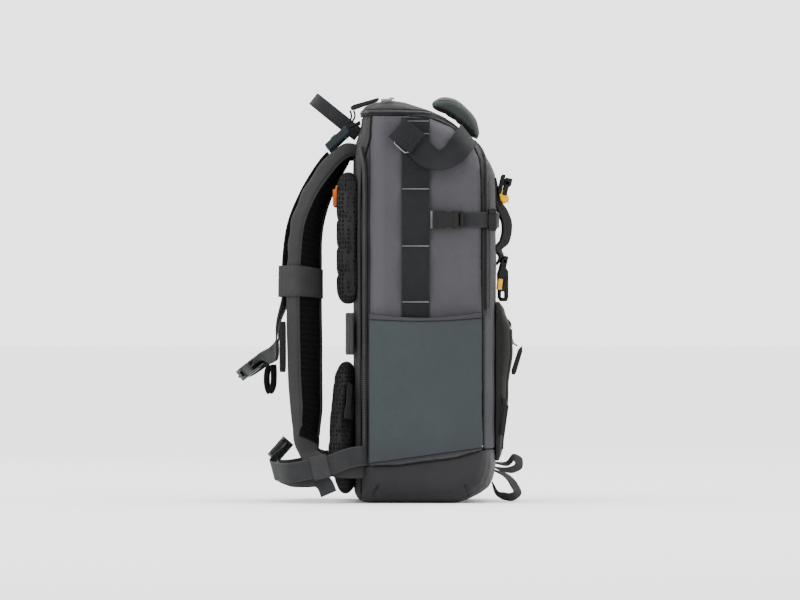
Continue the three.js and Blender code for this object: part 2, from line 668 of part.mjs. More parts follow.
function topHandle() {
  const middle = { deep: 0.72, high: 0.955 };
  const base = HANDLE_RISE * 0.35;
  return seated(loft(HANDLE_STATIONS.map(({ along, rise, size }) => HANDLE_PROFILE.map(({ deep, high }) => point(
    deepAt(middle.deep + (deep - middle.deep) * size),
    along * HANDLE_LONG,
    highAt(middle.high + (high - middle.high) * size) + base + (rise - 1) * HANDLE_RISE * 0.5,
  )))));
}

// The handle's webbing, from under the pad over the edge and through the D-ring.
const HANDLE_STRAP = [
  { deep: 0.8, high: 0.9162, side: 0.4, across: [0.62, 0, -0.78] },
  { deep: 0.8, high: 0.9125, side: 0.66, across: [0.62, 0, -0.78] },
  { deep: 0.785, high: 0.903, side: 0.88, across: [0.66, 0, -0.74] },
  { deep: 0.75, high: 0.886, side: 1.025, across: [0.75, 0, -0.66] },
  { deep: 0.695, high: 0.861, side: 1.07, across: [0.6, -0.35, -0.7] },
  { deep: 0.61, high: 0.846, side: 1.09, across: [0.05, -0.6, -0.8] },
  { deep: 0.52, high: 0.856, side: 1.085, across: [-0.45, -0.3, -0.8] },
  { deep: 0.44, high: 0.884, side: 1.062, across: [-0.66, 0, -0.75] },
  { deep: 0.365, high: 0.908, side: 1.047, across: [-0.66, 0, -0.75] },
  { deep: 0.305, high: 0.926, side: 1.078, across: [-0.66, 0, -0.75] },
  { deep: 0.365, high: 0.91, side: 1.11, across: [-0.66, 0, -0.75] },
  { deep: 0.45, high: 0.886, side: 1.112, across: [-0.66, 0, -0.75] },
];

function handleStrap() {
  return seated(webbing(HANDLE_STRAP.map((row) => ({
    at: point(deepAt(row.deep), -row.side * HALF, highAt(row.high)),
    across: point(...row.across),
  })), WEB_WIDE * 0.86, 29));
}

function dRing() {
  const wire = D_RING_WIRE / 2;
  const corner = (a, b) => point(a * (D_RING_WIDE - D_RING_WIRE) / 2, 0, b * (D_RING_HIGH - D_RING_WIRE) / 2);
  const line = [
    corner(-1, -0.8), corner(-0.8, -1), corner(0.3, -1), corner(0.85, -0.6), corner(1, 0),
    corner(0.85, 0.6), corner(0.3, 1), corner(-0.8, 1), corner(-1, 0.8),
  ];
  const rings = line.map((here, i) => {
    const before = line[(i + line.length - 1) % line.length];
    const after = line[(i + 1) % line.length];
    const along = after.clone().sub(before).normalize();
    const out = point(along.z, 0, -along.x);
    return Array.from({ length: 8 }, (_, k) => here.clone()
      .addScaledVector(out, wire * Math.cos(k * 45 * degrees))
      .add(point(0, wire * Math.sin(k * 45 * degrees), 0)));
  });
  const faces = [];
  rings.forEach((_, i) => {
    const next = (i + 1) % rings.length;
    for (let k = 0; k < 8; k += 1) {
      const [a, b, c, d] = [i * 8 + k, i * 8 + ((k + 1) % 8), next * 8 + ((k + 1) % 8), next * 8 + k];
      faces.push([a, b, c], [a, c, d]);
    }
  });
  return outward(rings.flat(), faces).rotateY(-48 * degrees)
    .translate(deepAt(0.385), -HALF * 1.083, highAt(0.9));
}

// The side of the bag

const DAISY_DEEP = 0.435;
const DAISY_TOP = 0.952;
const DAISY_TACKS = [0.943, 0.912, 0.776, 0.635, 0.497];
const DAISY_LOW = 0.455;

function daisyChain() {
  const flat = SEAT_GAP + WEB_THICK / 2;
  const rows = [{ high: DAISY_TOP, stand: flat }];
  DAISY_TACKS.forEach((high, i) => {
    rows.push({ high, stand: flat });
    const next = DAISY_TACKS[i + 1];
    if (!next) return;
    const full = Math.min(1, (high - next) / 0.14);
    [0.25, 0.5, 0.75].forEach((share) => rows.push({
      high: high + (next - high) * share,
      stand: flat + full * DAISY_BULGE * Math.sin(share * Math.PI),
    }));
  });
  rows.push({ high: DAISY_LOW, stand: flat });
  const rings = rows.map(({ high, stand }) => section(WEB_WIDE, WEB_THICK)
    .map(([a, b]) => point(deepAt(DAISY_DEEP) + a, -HALF - stand + b, highAt(high))));
  return seated(loft(rings));
}

// The stretch pocket in plan: shares of its length and bulge. Its sections rise from the base seam.
const POCKET_PLAN = [
  { along: 0, bulge: 0.22 }, { along: 0.06, bulge: 0.5 }, { along: 0.2, bulge: 0.82 }, { along: 0.5, bulge: 1 },
  { along: 0.8, bulge: 0.82 }, { along: 0.94, bulge: 0.5 }, { along: 1, bulge: 0.22 },
];
const POCKET_BACK = 0.115;
const POCKET_FRONT = 0.893;
const POCKET_RISE = [
  { back: 0.096, front: 0.135, bulge: 0.36 }, { back: 0.15, front: 0.18, bulge: 0.62 },
  { back: 0.3, front: 0.3, bulge: 0.8 }, { back: 0.44, front: 0.443, bulge: 0.95 }, { back: 0.468, front: 0.472, bulge: 1 },
];

function pocketForm(inset) {
  const [from, to] = [deepAt(POCKET_BACK) + inset, deepAt(POCKET_FRONT) - inset];
  const last = POCKET_RISE.length - 1;
  return solid(loft(POCKET_RISE.map(({ back, front, bulge }, level) => {
    const sag = level === last ? -0.012 : 0;
    const lift = level === 0 ? inset : 0;
    const over = level === last ? inset : 0;
    const rim = POCKET_PLAN.map((row) => point(
      from + row.along * (to - from),
      -HALF - Math.max(row.bulge * bulge * POCKET_BULGE + CLOTH - inset, 0.4),
      highAt(back + (front - back) * row.along + sag * Math.sin(row.along * Math.PI)) + lift + over,
    ));
    const inside = -HALF + 8;
    return [...rim, point(to, inside, rim[rim.length - 1].z), point(from, inside, rim[0].z)];
  })));
}

function sidePocket() {
  return shape(pocketForm(0).subtract(pocketForm(CLOTH)).subtract(seatForm));
}

const COMPRESSION_HIGH = 0.7;

function compressionStrap() {
  const rows = [
    { deep: 0.52, stand: 1.4 }, { deep: 0.62, stand: 1.5 }, { deep: 0.85, stand: 1.8 }, { deep: 0.93, stand: -2.5 },
    { deep: 0.985, stand: -16 }, { deep: 1.008, stand: -34 }, { deep: 1.012, stand: -58 },
  ];
  return seated(webbing(rows.map(({ deep, stand }) => ({
    at: point(deepAt(deep), -HALF - stand, highAt(COMPRESSION_HIGH)), across: point(0, 0, 1),
  })), WEB_NARROW, 16));
}

function compressionBuckle() {
  const [long, wide, thick] = [40, 23, 8];
  const outline = [
    [-0.5, 0.4], [-0.46, 0.5], [-0.1, 0.5], [-0.02, 0.42], [0.06, 0.42], [0.12, 0.5], [0.44, 0.5], [0.5, 0.4],
    [0.5, -0.4], [0.44, -0.5], [0.12, -0.5], [0.06, -0.42], [-0.02, -0.42], [-0.1, -0.5], [-0.46, -0.5], [-0.5, -0.4],
  ].map(([x, y]) => [x * long, y * wide]);
  const slot = [[0.34, -0.36], [0.4, -0.36], [0.4, 0.36], [0.34, 0.36]].map(([x, y]) => [x * long, y * wide]);
  return placed(plate(outline, [slot], thick), point(deepAt(0.66), -HALF - 7.6, highAt(COMPRESSION_HIGH)),
    point(1, 0, 0), point(0, -1, 0));
}

// The front of the bag

function frontPocket() {
  const centre = point(FRONT, 0, FRONT_POCKET_MIDDLE);
  const outer = pillow({
    wide: FRONT_POCKET_WIDE, high: FRONT_POCKET_HIGH, thick: FRONT_POCKET_DEEP, round: 22, away: 1, centre,
  });
  const inner = pillow({
    wide: FRONT_POCKET_WIDE - 2 * CLOTH,
    high: FRONT_POCKET_HIGH - 2 * CLOTH,
    thick: FRONT_POCKET_DEEP - CLOTH,
    round: 20,
    away: 1,
    centre,
  });
  return seated(shape(solid(outer).subtract(solid(inner))));
}

// The gear hook on its webbing: height as a share of the bag's, and how far it stands off the front.
const HOOK = [
  { high: 0.806, stand: -1.2 }, { high: 0.77, stand: 0.6 }, { high: 0.742, stand: 2.6 }, { high: 0.72, stand: 9 },
  { high: 0.69, stand: 14 }, { high: 0.65, stand: 11 }, { high: 0.63, stand: 3 }, { high: 0.61, stand: 6.5 },
  { high: 0.59, stand: 0.3 },
];

function frontHook() {
  return seated(webbing(HOOK.map(({ high, stand }) => ({
    at: point(FRONT + stand, -HOOK_SPREAD, highAt(high)), across: point(0, 1, 0),
  })), WEB_NARROW, 16, 2.4));
}

function hookTab() {
  const outline = [[-9, -4], [-5, -6], [6, -5], [9, -1], [8, 5], [-3, 6], [-9, 2]];
  return placed(plate(outline, [], 16), point(FRONT + 9.4, -HOOK_SPREAD, highAt(0.76)), point(-0.35, 0, 1), point(0, -1, 0));
}

// The buckle over the front pocket, in shares of its length and depth.
const CLIP_OUTLINE = [
  [-0.5, -0.36], [-0.39, -0.5], [0.35, -0.5], [0.5, -0.21], [0.5, 0.21], [0.3, 0.5], [-0.39, 0.43], [-0.5, 0.21],
];
const CLIP_SLOT = [[-0.39, -0.18], [-0.22, -0.18], [-0.22, 0.18], [-0.39, 0.18]];

function lowerClip() {
  const sized = (list) => list.map(([long, deep]) => [long * CLIP_LONG, deep * CLIP_DEEP]);
  const foot = FRONT_POCKET_MIDDLE + FRONT_POCKET_HIGH / 2 + CLIP_CLEAR;
  return placed(plate(sized(CLIP_OUTLINE), [sized(CLIP_SLOT)], CLIP_WIDE),
    point(FRONT + CLIP_STAND, -HOOK_SPREAD, foot + CLIP_LONG / 2), point(0, 0, 1), point(0, -1, 0));
}

// The webbing loops at the foot of the front: how far they stand off and how high.
const LOOPS = {
  upper: {
    side: 45,
    rows: [
      { stand: -4, high: 0.095 }, { stand: 15, high: 0.092 }, { stand: 24, high: 0.107 }, { stand: 30, high: 0.1 },
      { stand: 30, high: 0.086 }, { stand: 22, high: 0.077 }, { stand: 10, high: 0.077 }, { stand: -4, high: 0.084 },
    ],
  },
  lower: {
    side: -62,
    rows: [
      { stand: -5, high: 0.08 }, { stand: 12, high: 0.066 }, { stand: 22, high: 0.045 }, { stand: 27, high: 0.02 },
      { stand: 20, high: 0.006 }, { stand: 8, high: 0.009 }, { stand: 1, high: 0.02 }, { stand: -6, high: 0.05 },
    ],
  },
};

function webbingLoop({ side, rows }) {
  return seated(webbing(rows.map(({ stand, high }) => ({
    at: point(FRONT + stand, side, highAt(high)), across: point(0, 1, 0),
  })), WEB_NARROW, 18));
}

function lidPull() {
  const outline = [[-19, -2.5], [-15, -3.6], [17, -3], [20, -1], [20, 1.5], [-14, 3.4], [-19, 2]];
  return placed(plate(outline, [], 9), point(deepAt(0.08), -BODY_WIDTH * 0.31, highAt(0.9885)),
    point(0.945, 0, 0.327), point(0, -1, 0));
}

function pocketPull() {
  const outline = [[-21, -2.4], [-17, -3.6], [12, -3], [19, 0], [12, 3], [-16, 3.4], [-21, 1.6]];
  return placed(plate(outline, [], PULL_WIDE),
    point(FRONT + FRONT_POCKET_DEEP + PULL_STAND, -FRONT_POCKET_WIDE * 0.3113, highAt(0.355)),
    point(0.3, 0, 0.95), point(0, -1, 0));
}

// The assembly

const finish = (color, roughness, metalness = 0) => new THREE.MeshStandardMaterial({ color, roughness, metalness });
const FABRIC = finish(0x626268, 0.8);
const DARK_FABRIC = finish(0x3f3f41, 0.82);
const BASE_FABRIC = finish(0x3c3c3e, 0.7);
const STRETCH = finish(0x545e5d, 0.85);
const MESH = finish(0x1c1c1c, 0.92);
const PAD_FABRIC = finish(0x494949, 0.85);
const WEBBING = finish(0x38383b, 0.85);
const ELASTIC = finish(0x4c4c4e, 0.85);
const PLASTIC = finish(0x2b3233, 0.45);
const BLACK_PLASTIC = finish(0x1b1b1d, 0.45);
const YELLOW = finish(0xe0a52a, 0.5);
const METAL = finish(0x8a8a8c, 0.35, 0.9);
const GRIP = finish(0x5d6562, 0.85);
const POCKET_FABRIC = finish(0x333431, 0.8);

const bag = new THREE.Group();

function add(name, geometry, material) {
  const mesh = new THREE.Mesh(geometry, material);
  mesh.name = name;
  bag.add(mesh);
}

function addPair(name, geometry, material) {
  add(`${name}_left`, geometry, material);
  add(`${name}_right`, mirrored(geometry), material);
}

add('side_panel_left', panel(sideArea, -BODY_WIDTH, 0), FABRIC);
add('side_panel_right', panel(sideArea, 0, BODY_WIDTH), FABRIC);
add('front_panel', panel(frontArea, -BODY_WIDTH, BODY_WIDTH), DARK_FABRIC);
add('back_panel', panel(backArea, -BODY_WIDTH, BODY_WIDTH), DARK_FABRIC);
add('lid', panel(lidArea, -BODY_WIDTH, BODY_WIDTH), DARK_FABRIC);
add('base_boot', panel(baseArea, -BODY_WIDTH, BODY_WIDTH), BASE_FABRIC);

addPair('back_pad', backPad(), MESH);
add('trolley_strap', trolleyStrap(), WEBBING);
add('hip_belt_pad', hipPad(), MESH);
addPair('hip_keeper', hipKeeper(), ELASTIC);
add('hip_strap_tail', hipTail(), WEBBING);

addPair('shoulder_strap', seated(shoulderForm()), PAD_FABRIC);
addPair('strap_rail', strapRail(), WEBBING);
addPair('strap_keeper', strapKeeper(), ELASTIC);
addPair('load_lifter', loadLifter(), WEBBING);
addPair('lifter_adjuster', lifterAdjuster(), PLASTIC);

const hipPlace = {
  at: onHarness({ out: 0.62, side: 0, high: 0.128 }),
  along: point(0, 1, 0),
  facing: point(-0.75, 0, 0.66),
  long: BUCKLE_LONG,
};
const hipBuckle = buckle(1);
add('hip_buckle_socket', placed(hipBuckle.socket, hipPlace.at, hipPlace.along, hipPlace.facing), PLASTIC);
add('hip_buckle_plug', placed(hipBuckle.plug, hipPlace.at, hipPlace.along, hipPlace.facing), PLASTIC);
addPair('hip_strap', hipStrap(hipPlace), WEBBING);

const sternumPlace = {
  at: onHarness({ out: 0.866, side: 0, high: 0.335 }),
  along: point(-0.3, 0.92, -0.25),
  facing: point(-0.6, 0, 0.8),
  long: BUCKLE_LONG * STERNUM_BUCKLE_SCALE,
};
const sternumBuckle = buckle(STERNUM_BUCKLE_SCALE);
add('sternum_buckle_socket', placed(sternumBuckle.socket, sternumPlace.at, sternumPlace.along, sternumPlace.facing), PLASTIC);
add('sternum_buckle_plug', placed(sternumBuckle.plug, sternumPlace.at, sternumPlace.along, sternumPlace.facing), PLASTIC);
add('sternum_strap_left', sternumStrap(-1, sternumPlace), WEBBING);
add('sternum_strap_right', sternumStrap(1, sternumPlace), WEBBING);
add('sternum_tail', sternumTail(), WEBBING);
add('sternum_elastic', sternumElastic(), BLACK_PLASTIC);

add('grab_handle', grabHandle(), WEBBING);
add('top_handle', topHandle(), GRIP);
addPair('top_handle_strap', handleStrap(), WEBBING);
addPair('d_ring', dRing(), METAL);

addPair('daisy_chain', daisyChain(), WEBBING);
addPair('side_pocket', sidePocket(), STRETCH);
addPair('compression_strap', compressionStrap(), WEBBING);
addPair('compression_buckle', compressionBuckle(), BLACK_PLASTIC);

add('front_pocket', frontPocket(), POCKET_FABRIC);
addPair('front_hook', frontHook(), WEBBING);
addPair('hook_tab', hookTab(), YELLOW);
addPair('lower_clip', lowerClip(), BLACK_PLASTIC);
add('webbing_loop_upper', webbingLoop(LOOPS.upper), WEBBING);
add('webbing_loop_lower', webbingLoop(LOOPS.lower), WEBBING);
add('lid_pull', lidPull(), BLACK_PLASTIC);
add('pocket_pull', pocketPull(), BLACK_PLASTIC);

export default bag;
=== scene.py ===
import math

import bmesh
import bpy
from mathutils import Matrix, Vector, noise
from mathutils.bvhtree import BVHTree


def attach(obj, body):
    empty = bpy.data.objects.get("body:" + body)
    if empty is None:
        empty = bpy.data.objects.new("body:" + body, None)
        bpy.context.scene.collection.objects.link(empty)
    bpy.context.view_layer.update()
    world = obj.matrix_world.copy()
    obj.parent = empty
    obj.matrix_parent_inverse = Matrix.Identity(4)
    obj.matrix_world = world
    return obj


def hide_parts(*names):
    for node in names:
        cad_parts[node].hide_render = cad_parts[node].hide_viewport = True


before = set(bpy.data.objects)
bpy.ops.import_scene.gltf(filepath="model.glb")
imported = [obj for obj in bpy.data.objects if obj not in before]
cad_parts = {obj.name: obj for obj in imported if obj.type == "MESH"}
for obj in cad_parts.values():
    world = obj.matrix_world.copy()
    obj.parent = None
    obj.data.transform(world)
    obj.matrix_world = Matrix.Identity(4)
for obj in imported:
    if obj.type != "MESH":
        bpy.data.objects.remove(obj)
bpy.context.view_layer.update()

MM = 0.001

# The bag, as the solids have it
BODY_HEIGHT, BODY_DEPTH, BODY_WIDTH = 527, 188, 300
HALF, BACK, FRONT = BODY_WIDTH / 2, -BODY_DEPTH / 2, BODY_DEPTH / 2
HARNESS_REACH = 155
STRAP_WIDE, STRAP_THICK = 66, 22
SEAT_GAP = 0.3
WEB_THICK, WEB_WIDE, WEB_MEDIUM, WEB_NARROW = 2, 37, 26, 20
KEEPER_SLACK, KEEPER_LONG, KEEPER_HIGH = 9, 40, 0.545
KEEPER_CLEAR, KEEPER_CLOTH = 2.4, 3
BUCKLE_LONG, STERNUM_BUCKLE_SCALE = 58, 0.82
GRAB_REACH, GRAB_HALF = 62, 38


def deep_at(share):
    return BACK + share * BODY_DEPTH


def high_at(share):
    return share * BODY_HEIGHT


def on_harness(out, side, high):
    return Vector((BACK - out * HARNESS_REACH, -side * HALF, high_at(high)))


# The camera and the light

# The photograph is a level view of the wearer's left side: 1.3 mm to a pixel at the bag's side.
PIXEL = 1.3
IMAGE_WIDE = 800
VIEW_CENTRE = Vector((-0.0325, 0, 0.2645))
VIEW_DISTANCE = 12
SIDE_PLANE = -0.15
SKY, SKY_STRENGTH = 0.79, 3.6

# The lamps: place, the height of what they light, size and power
LAMPS = {
    "key": ((-1.4, -2.6, 2.2), 0.3, 1.8, 30),
    "fill": ((2.2, -2.2, 1.2), 0.25, 1.6, 8),
    "top": ((0.1, 0.3, 2.6), 0.3, 1.5, 18),
    "rear": ((-1.2, 2.6, 1.6), 0.3, 1.6, 12),
}


def linked(name, data):
    """A new object in the scene."""
    obj = bpy.data.objects.new(name, data)
    bpy.context.collection.objects.link(obj)
    return obj


def set_camera():
    data = bpy.data.cameras.new("camera")
    data.sensor_width = 36
    data.lens = data.sensor_width * VIEW_DISTANCE / (IMAGE_WIDE * PIXEL * MM)
    camera = linked("camera", data)
    camera.location = VIEW_CENTRE + Vector((0, SIDE_PLANE - VIEW_DISTANCE, 0))
    camera.rotation_euler = (math.radians(90), 0, 0)
    bpy.context.scene.camera = camera


def set_light():
    world = bpy.data.worlds.new("studio")
    world.use_nodes = True
    sky = world.node_tree.nodes["Background"]
    sky.inputs["Color"].default_value = (SKY, SKY, SKY, 1)
    sky.inputs["Strength"].default_value = SKY_STRENGTH
    bpy.context.scene.world = world
    for name, (place, height, size, power) in LAMPS.items():
        data = bpy.data.lights.new(name, "AREA")
        data.shape, data.size, data.energy = "DISK", size, power
        light = linked(name, data)
        light.location = place
        light.rotation_euler = (Vector((0, 0, height)) - Vector(place)).to_track_quat("-Z", "Y").to_euler()


set_camera()
set_light()

# Shaders


class Value:
    """A shader socket that the arithmetic signs work on."""

    def __init__(self, finish, socket):
        self.finish, self.socket = finish, socket

    def __add__(self, other):
        return self.finish.maths("ADD", self, other)

    def __rsub__(self, other):
        return self.finish.maths("SUBTRACT", other, self)

    def __mul__(self, other):
        return self.finish.maths("MULTIPLY", self, other)


# Every finish by its name
MATERIALS = {}


class Finish:
    """A material and what its nodes are made with."""

    def __init__(self, name):
        self.name = name
        self.material = bpy.data.materials.new(name)
        self.material.use_nodes = True
        self.tree = self.material.node_tree
        self.tree.nodes.clear()
        self.coordinates = self.tree.nodes.new("ShaderNodeTexCoord")
        self.spot = Value(self, self.coordinates.outputs["Object"])

    def node(self, kind, settings=None, sockets=None, output=0):
        node = self.tree.nodes.new(kind)
        for key, value in (settings or {}).items():
            setattr(node, key, value)
        for key, value in (sockets or {}).items():
            if isinstance(value, Value):
                self.tree.links.new(value.socket, node.inputs[key])
            else:
                node.inputs[key].default_value = value
        return Value(self, node.outputs[output])

    def maths(self, operation, *values):
        return self.node("ShaderNodeMath", {"operation": operation}, dict(enumerate(values)))

    def sine(self, value):
        return self.maths("SINE", value)

    def parts(self, vector=None):
        vector = vector or self.spot
        return [self.node("ShaderNodeSeparateXYZ", None, {0: vector}, k) for k in range(3)]

    def weave_map(self):
        flat = Value(self, self.coordinates.outputs["UV"])
        return self.parts(flat)[:2]

    def stretched(self, scale):
        return self.node("ShaderNodeMapping", None, {"Vector": self.spot, "Scale": scale})

    def cloud(self, scale, detail=2.0, vector=None):
        sockets = {"Vector": vector or self.spot, "Scale": scale, "Detail": detail}
        return self.node("ShaderNodeTexNoise", None, sockets)

    def cells(self, scale, vector, randomness):
        sockets = {"Vector": vector, "Scale": scale, "Randomness": randomness}
        return self.node("ShaderNodeTexVoronoi", {"feature": "DISTANCE_TO_EDGE"}, sockets)

    def ease(self, value, low, high):
        sockets = {"Value": value, "From Min": low, "From Max": high}
        return self.node("ShaderNodeMapRange", {"interpolation_type": "SMOOTHSTEP"}, sockets)

    def blend(self, mask, first, second):
        node = self.tree.nodes.new("ShaderNodeMix")
        node.data_type = "RGBA"
        ends = [s for s in node.inputs if s.type == "RGBA"]
        for socket, color in zip(ends, (first, second)):
            if isinstance(color, Value):
                self.tree.links.new(color.socket, socket)
            else:
                socket.default_value = (*color, 1)
        self.tree.links.new(mask.socket, node.inputs[0])
        return Value(self, next(s for s in node.outputs if s.type == "RGBA"))

    def bump(self, height, distance, strength=1.0, under=None):
        sockets = {"Height": height, "Distance": distance, "Strength": strength}
        if under:
            sockets["Normal"] = under
        return self.node("ShaderNodeBump", None, sockets)

    def done(self, color, roughness, normal=None, metallic=0.0, sheen=0.0, specular=0.5):
        """Ends the finish and keeps it by its name."""
        shader = self.tree.nodes.new("ShaderNodeBsdfPrincipled")
        wanted = {"Base Color": color, "Roughness": roughness, "Normal": normal, "Metallic": metallic,
                  "Sheen Weight": sheen, "Specular IOR Level": specular}
        for key, value in wanted.items():
            if isinstance(value, Value):
                self.tree.links.new(value.socket, shader.inputs[key])
            elif key == "Base Color":
                shader.inputs[key].default_value = (*value, 1)
            elif value is not None:
                shader.inputs[key].default_value = value
        out = self.tree.nodes.new("ShaderNodeOutputMaterial")
        self.tree.links.new(shader.outputs[0], out.inputs[0])
        MATERIALS[self.name] = self.material


# How dark cloth is in this light, against its colour on the screen
SEEN = 0.27


def tint(color, share):
    return tuple(part * share for part in color)


def grey(red, green, blue):
    """A colour as it is seen, from 0 to 255, made linear and as dark as cloth is in this light."""
    return tuple(SEEN * ((c / 255 + 0.055) / 1.055) ** 2.4 for c in (red, green, blue))


def thread_bump(finish, across, along, pitch):
    """The small hills of a plain weave."""
    turn = 2 * math.pi / pitch
    return finish.sine(across * turn) * finish.sine(along * turn)


def woven(name, color, tone=0.1, pitch=0.0012, roughness=0.78, crease=0.0006, sheen=0.03, marks=None):
    """Coated or plain nylon: slow changes of tone, a fine weave and soft creases. marks adds a piece's own marks, and
    on the side panel painted light.
    """
    f = Finish(name)
    x, y, z = f.parts()
    slow = f.cloud(7.0, 3.0)
    quick = f.cloud(60.0, 3.0)
    shade = f.ease(slow * 0.75 + quick * 0.25, 0.36, 0.64)
    tinted = f.blend(shade, tint(color, 1 - tone), tint(color, 1 + tone))
    if marks:
        tinted = marks(f, tinted, x, y, z)
    weave = thread_bump(f, x + y, z, pitch)
    grain = f.cloud(1400.0, 1.0)
    folds = f.cloud(26.0, 3.0, f.stretched((1.0, 1.0, 0.45)))
    normal = f.bump(folds, crease * 6, 0.5)
    normal = f.bump(weave * 0.6 + grain * 0.5, 0.00018, 0.6, normal)
    rough = f.ease(f.cloud(140.0, 2.0), 0.2, 0.8) * 0.1 + (roughness - 0.05)
    f.done(tinted, rough, normal, sheen=sheen, specular=0.14)


def ribbed(name, color, pitch=0.0017, edge=None):
    """Webbing from its own map: ribs across it, two rows of warp and firmer edges."""
    f = Finish(name)
    along, across = f.weave_map()
    ribs = f.sine(along * (2 * math.pi / pitch) + f.sine(across * 2600.0) * 0.9)
    warp = f.sine(across * (2 * math.pi / 0.0011))
    wear = f.ease(f.cloud(45.0, 3.0), 0.35, 0.65)
    tinted = f.blend(wear, tint(color, 0.88), tint(color, 1.12))
    tinted = f.blend(f.ease(ribs, -1.0, 1.0) * 0.35, tinted, tint(color, 0.6))
    if edge:
        side = f.maths("ABSOLUTE", across)
        tinted = f.blend(f.ease(side, edge - 0.0022, edge - 0.001), tinted, tint(color, 1.35))
    normal = f.bump(ribs * 0.7 + warp * 0.3, 0.00035, 0.7)
    f.done(tinted, 0.8, normal, sheen=0.02, specular=0.12)


def spacer(name, thread, cell_shade, mapped, size=210.0):
    """Open three-layer mesh: threads round small deep cells, the cells painted near black as the shade inside them."""
    f = Finish(name)
    if mapped:
        along, across = f.weave_map()
        vector = f.node("ShaderNodeCombineXYZ", None, {0: along * 0.62, 1: across, 2: 0.0})
    else:
        vector = f.stretched((1.0, 1.0, 0.66))
    wall = f.cells(size, vector, 0.28)
    rim = f.ease(wall, 0.07, 0.3)
    tone = f.ease(f.cloud(30.0, 2.0), 0.3, 0.7)
    threads = f.blend(tone, tint(thread, 0.8), tint(thread, 1.2))
    # The cells take the painted shade colour
    tinted = f.blend(rim, threads, cell_shade)
    grain = f.cloud(900.0, 1.0)
    normal = f.bump((1 - rim) + grain * 0.2, 0.0009, 0.9)
    f.done(tinted, 0.88, normal, specular=0.08)


def moulded(name, color, roughness=0.42):
    """Moulded plastic: a fine spark grain, and handling that dulls it here and there."""
    f = Finish(name)
    worn = f.ease(f.cloud(70.0, 4.0), 0.35, 0.7)
    tinted = f.blend(worn, tint(color, 0.85), tint(color, 1.25))
    normal = f.bump(f.cloud(900.0, 2.0), 0.0002, 0.35)
    f.done(tinted, worn * 0.14 + (roughness - 0.06), normal, specular=0.16)


def steel(name):
    f = Finish(name)
    brushed = f.cloud(240.0, 3.0, f.stretched((1.0, 1.0, 6.0)))
    normal = f.bump(brushed, 0.0001, 0.5)
    f.done(f.blend(brushed, (0.1, 0.1, 0.105), (0.22, 0.22, 0.225)), brushed * 0.15 + 0.28, normal, 1.0)


SIDE_GREY = grey(101, 100, 107)
DARK_GREY = grey(66, 66, 68)
STRIP_GREY = grey(46, 46, 47)


def side_marks_and_painted_light(f, tinted, x, y, z):
    """The side panel's darker zip strip at the rear, a pale band of painted highlight beside it and painted shade on
    the turn at its front.
    """
    strip = f.ease(x, -0.0712, -0.0718)
    # Painted highlight: an upright pale band where the panel rounds towards the rear
    painted_highlight = f.ease(f.maths("ABSOLUTE", x + 0.0605), 0.011, 0.002)
    tinted = f.blend(painted_highlight * 0.5, tinted, tint(SIDE_GREY, 1.3))
    # Painted shade: darker towards the front, where the panel turns away
    shade = f.ease(x, 0.05, 0.074) * 0.35
    tinted = f.blend(shade, tinted, tint(SIDE_GREY, 0.72))
    return f.blend(strip, tinted, STRIP_GREY)


def pocket_marks(f, tinted, x, y, z):
    """Broad upright bands of tone, and a cooler foot."""
    bands = f.ease(f.cloud(16.0, 1.0, f.stretched((1.0, 1.0, 0.12))), 0.35, 0.65)
    tinted = f.blend(bands * 0.5, tinted, grey(78, 84, 87))
    return f.blend(f.ease(z, 0.1, 0.055) * 0.7, tinted, grey(80, 83, 92))


def front_marks(f, tinted, x, y, z):
    """The lighter corner strips below the zips, on both sides."""
    low = f.ease(z, 0.248, 0.236)
    corner = f.ease(f.maths("ABSOLUTE", y), 0.118, 0.126)
    return f.blend(low * corner, tinted, grey(88, 87, 95))


woven("side_fabric", SIDE_GREY, 0.06, marks=side_marks_and_painted_light, roughness=0.58, sheen=0.04, crease=0.0013)
woven("dark_fabric", DARK_GREY)
woven("front_fabric", grey(66, 66, 69), 0.08, marks=front_marks)
woven("base_fabric", grey(60, 60, 63), 0.1, roughness=0.6)
woven("stretch_fabric", grey(84, 94, 95), 0.05, 0.0016, marks=pocket_marks, crease=0.0003)
woven("lip_fabric", grey(86, 87, 92), 0.06)
woven("strap_fabric", grey(74, 74, 75), 0.1)
woven("pocket_fabric", grey(53, 54, 49), 0.12)
woven("grip_fabric", grey(82, 90, 87), 0.1)
woven("tape_fabric", grey(44, 44, 45), 0.1, 0.0009)
woven("patch_fabric", grey(55, 55, 56), 0.1)
# Each mesh: its threads' colour, then the painted shade of its cells
spacer("strap_mesh", grey(30, 30, 31), grey(5, 5, 5), True)
spacer("pad_mesh", grey(62, 62, 63), grey(22, 22, 22), False, 260.0)
ribbed("wide_webbing", grey(50, 51, 55), edge=0.0185)
ribbed("webbing", grey(66, 67, 69), edge=0.01)
ribbed("belt_webbing", grey(74, 75, 77), edge=0.013)
ribbed("black_webbing", grey(34, 34, 36))
ribbed("elastic", grey(84, 84, 86), 0.0024)
woven("piping", grey(30, 30, 31), 0.1, 0.0009)
moulded("buckle_plastic", grey(32, 42, 42))
moulded("adjuster_plastic", grey(38, 56, 62), 0.38)
moulded("black_plastic", grey(26, 26, 28))
moulded("yellow_plastic", tint(grey(250, 184, 12), 2.6), 0.5)
moulded("orange_plastic", tint(grey(200, 96, 16), 1.9), 0.5)
steel("steel")
moulded("zip_teeth", grey(96, 96, 98), 0.4)
moulded("stitch", grey(88, 88, 90), 0.8)
moulded("pale_stitch", grey(150, 152, 158), 0.75)
moulded("dark_stitch", grey(30, 30, 31), 0.8)

# Making and dressing pieces


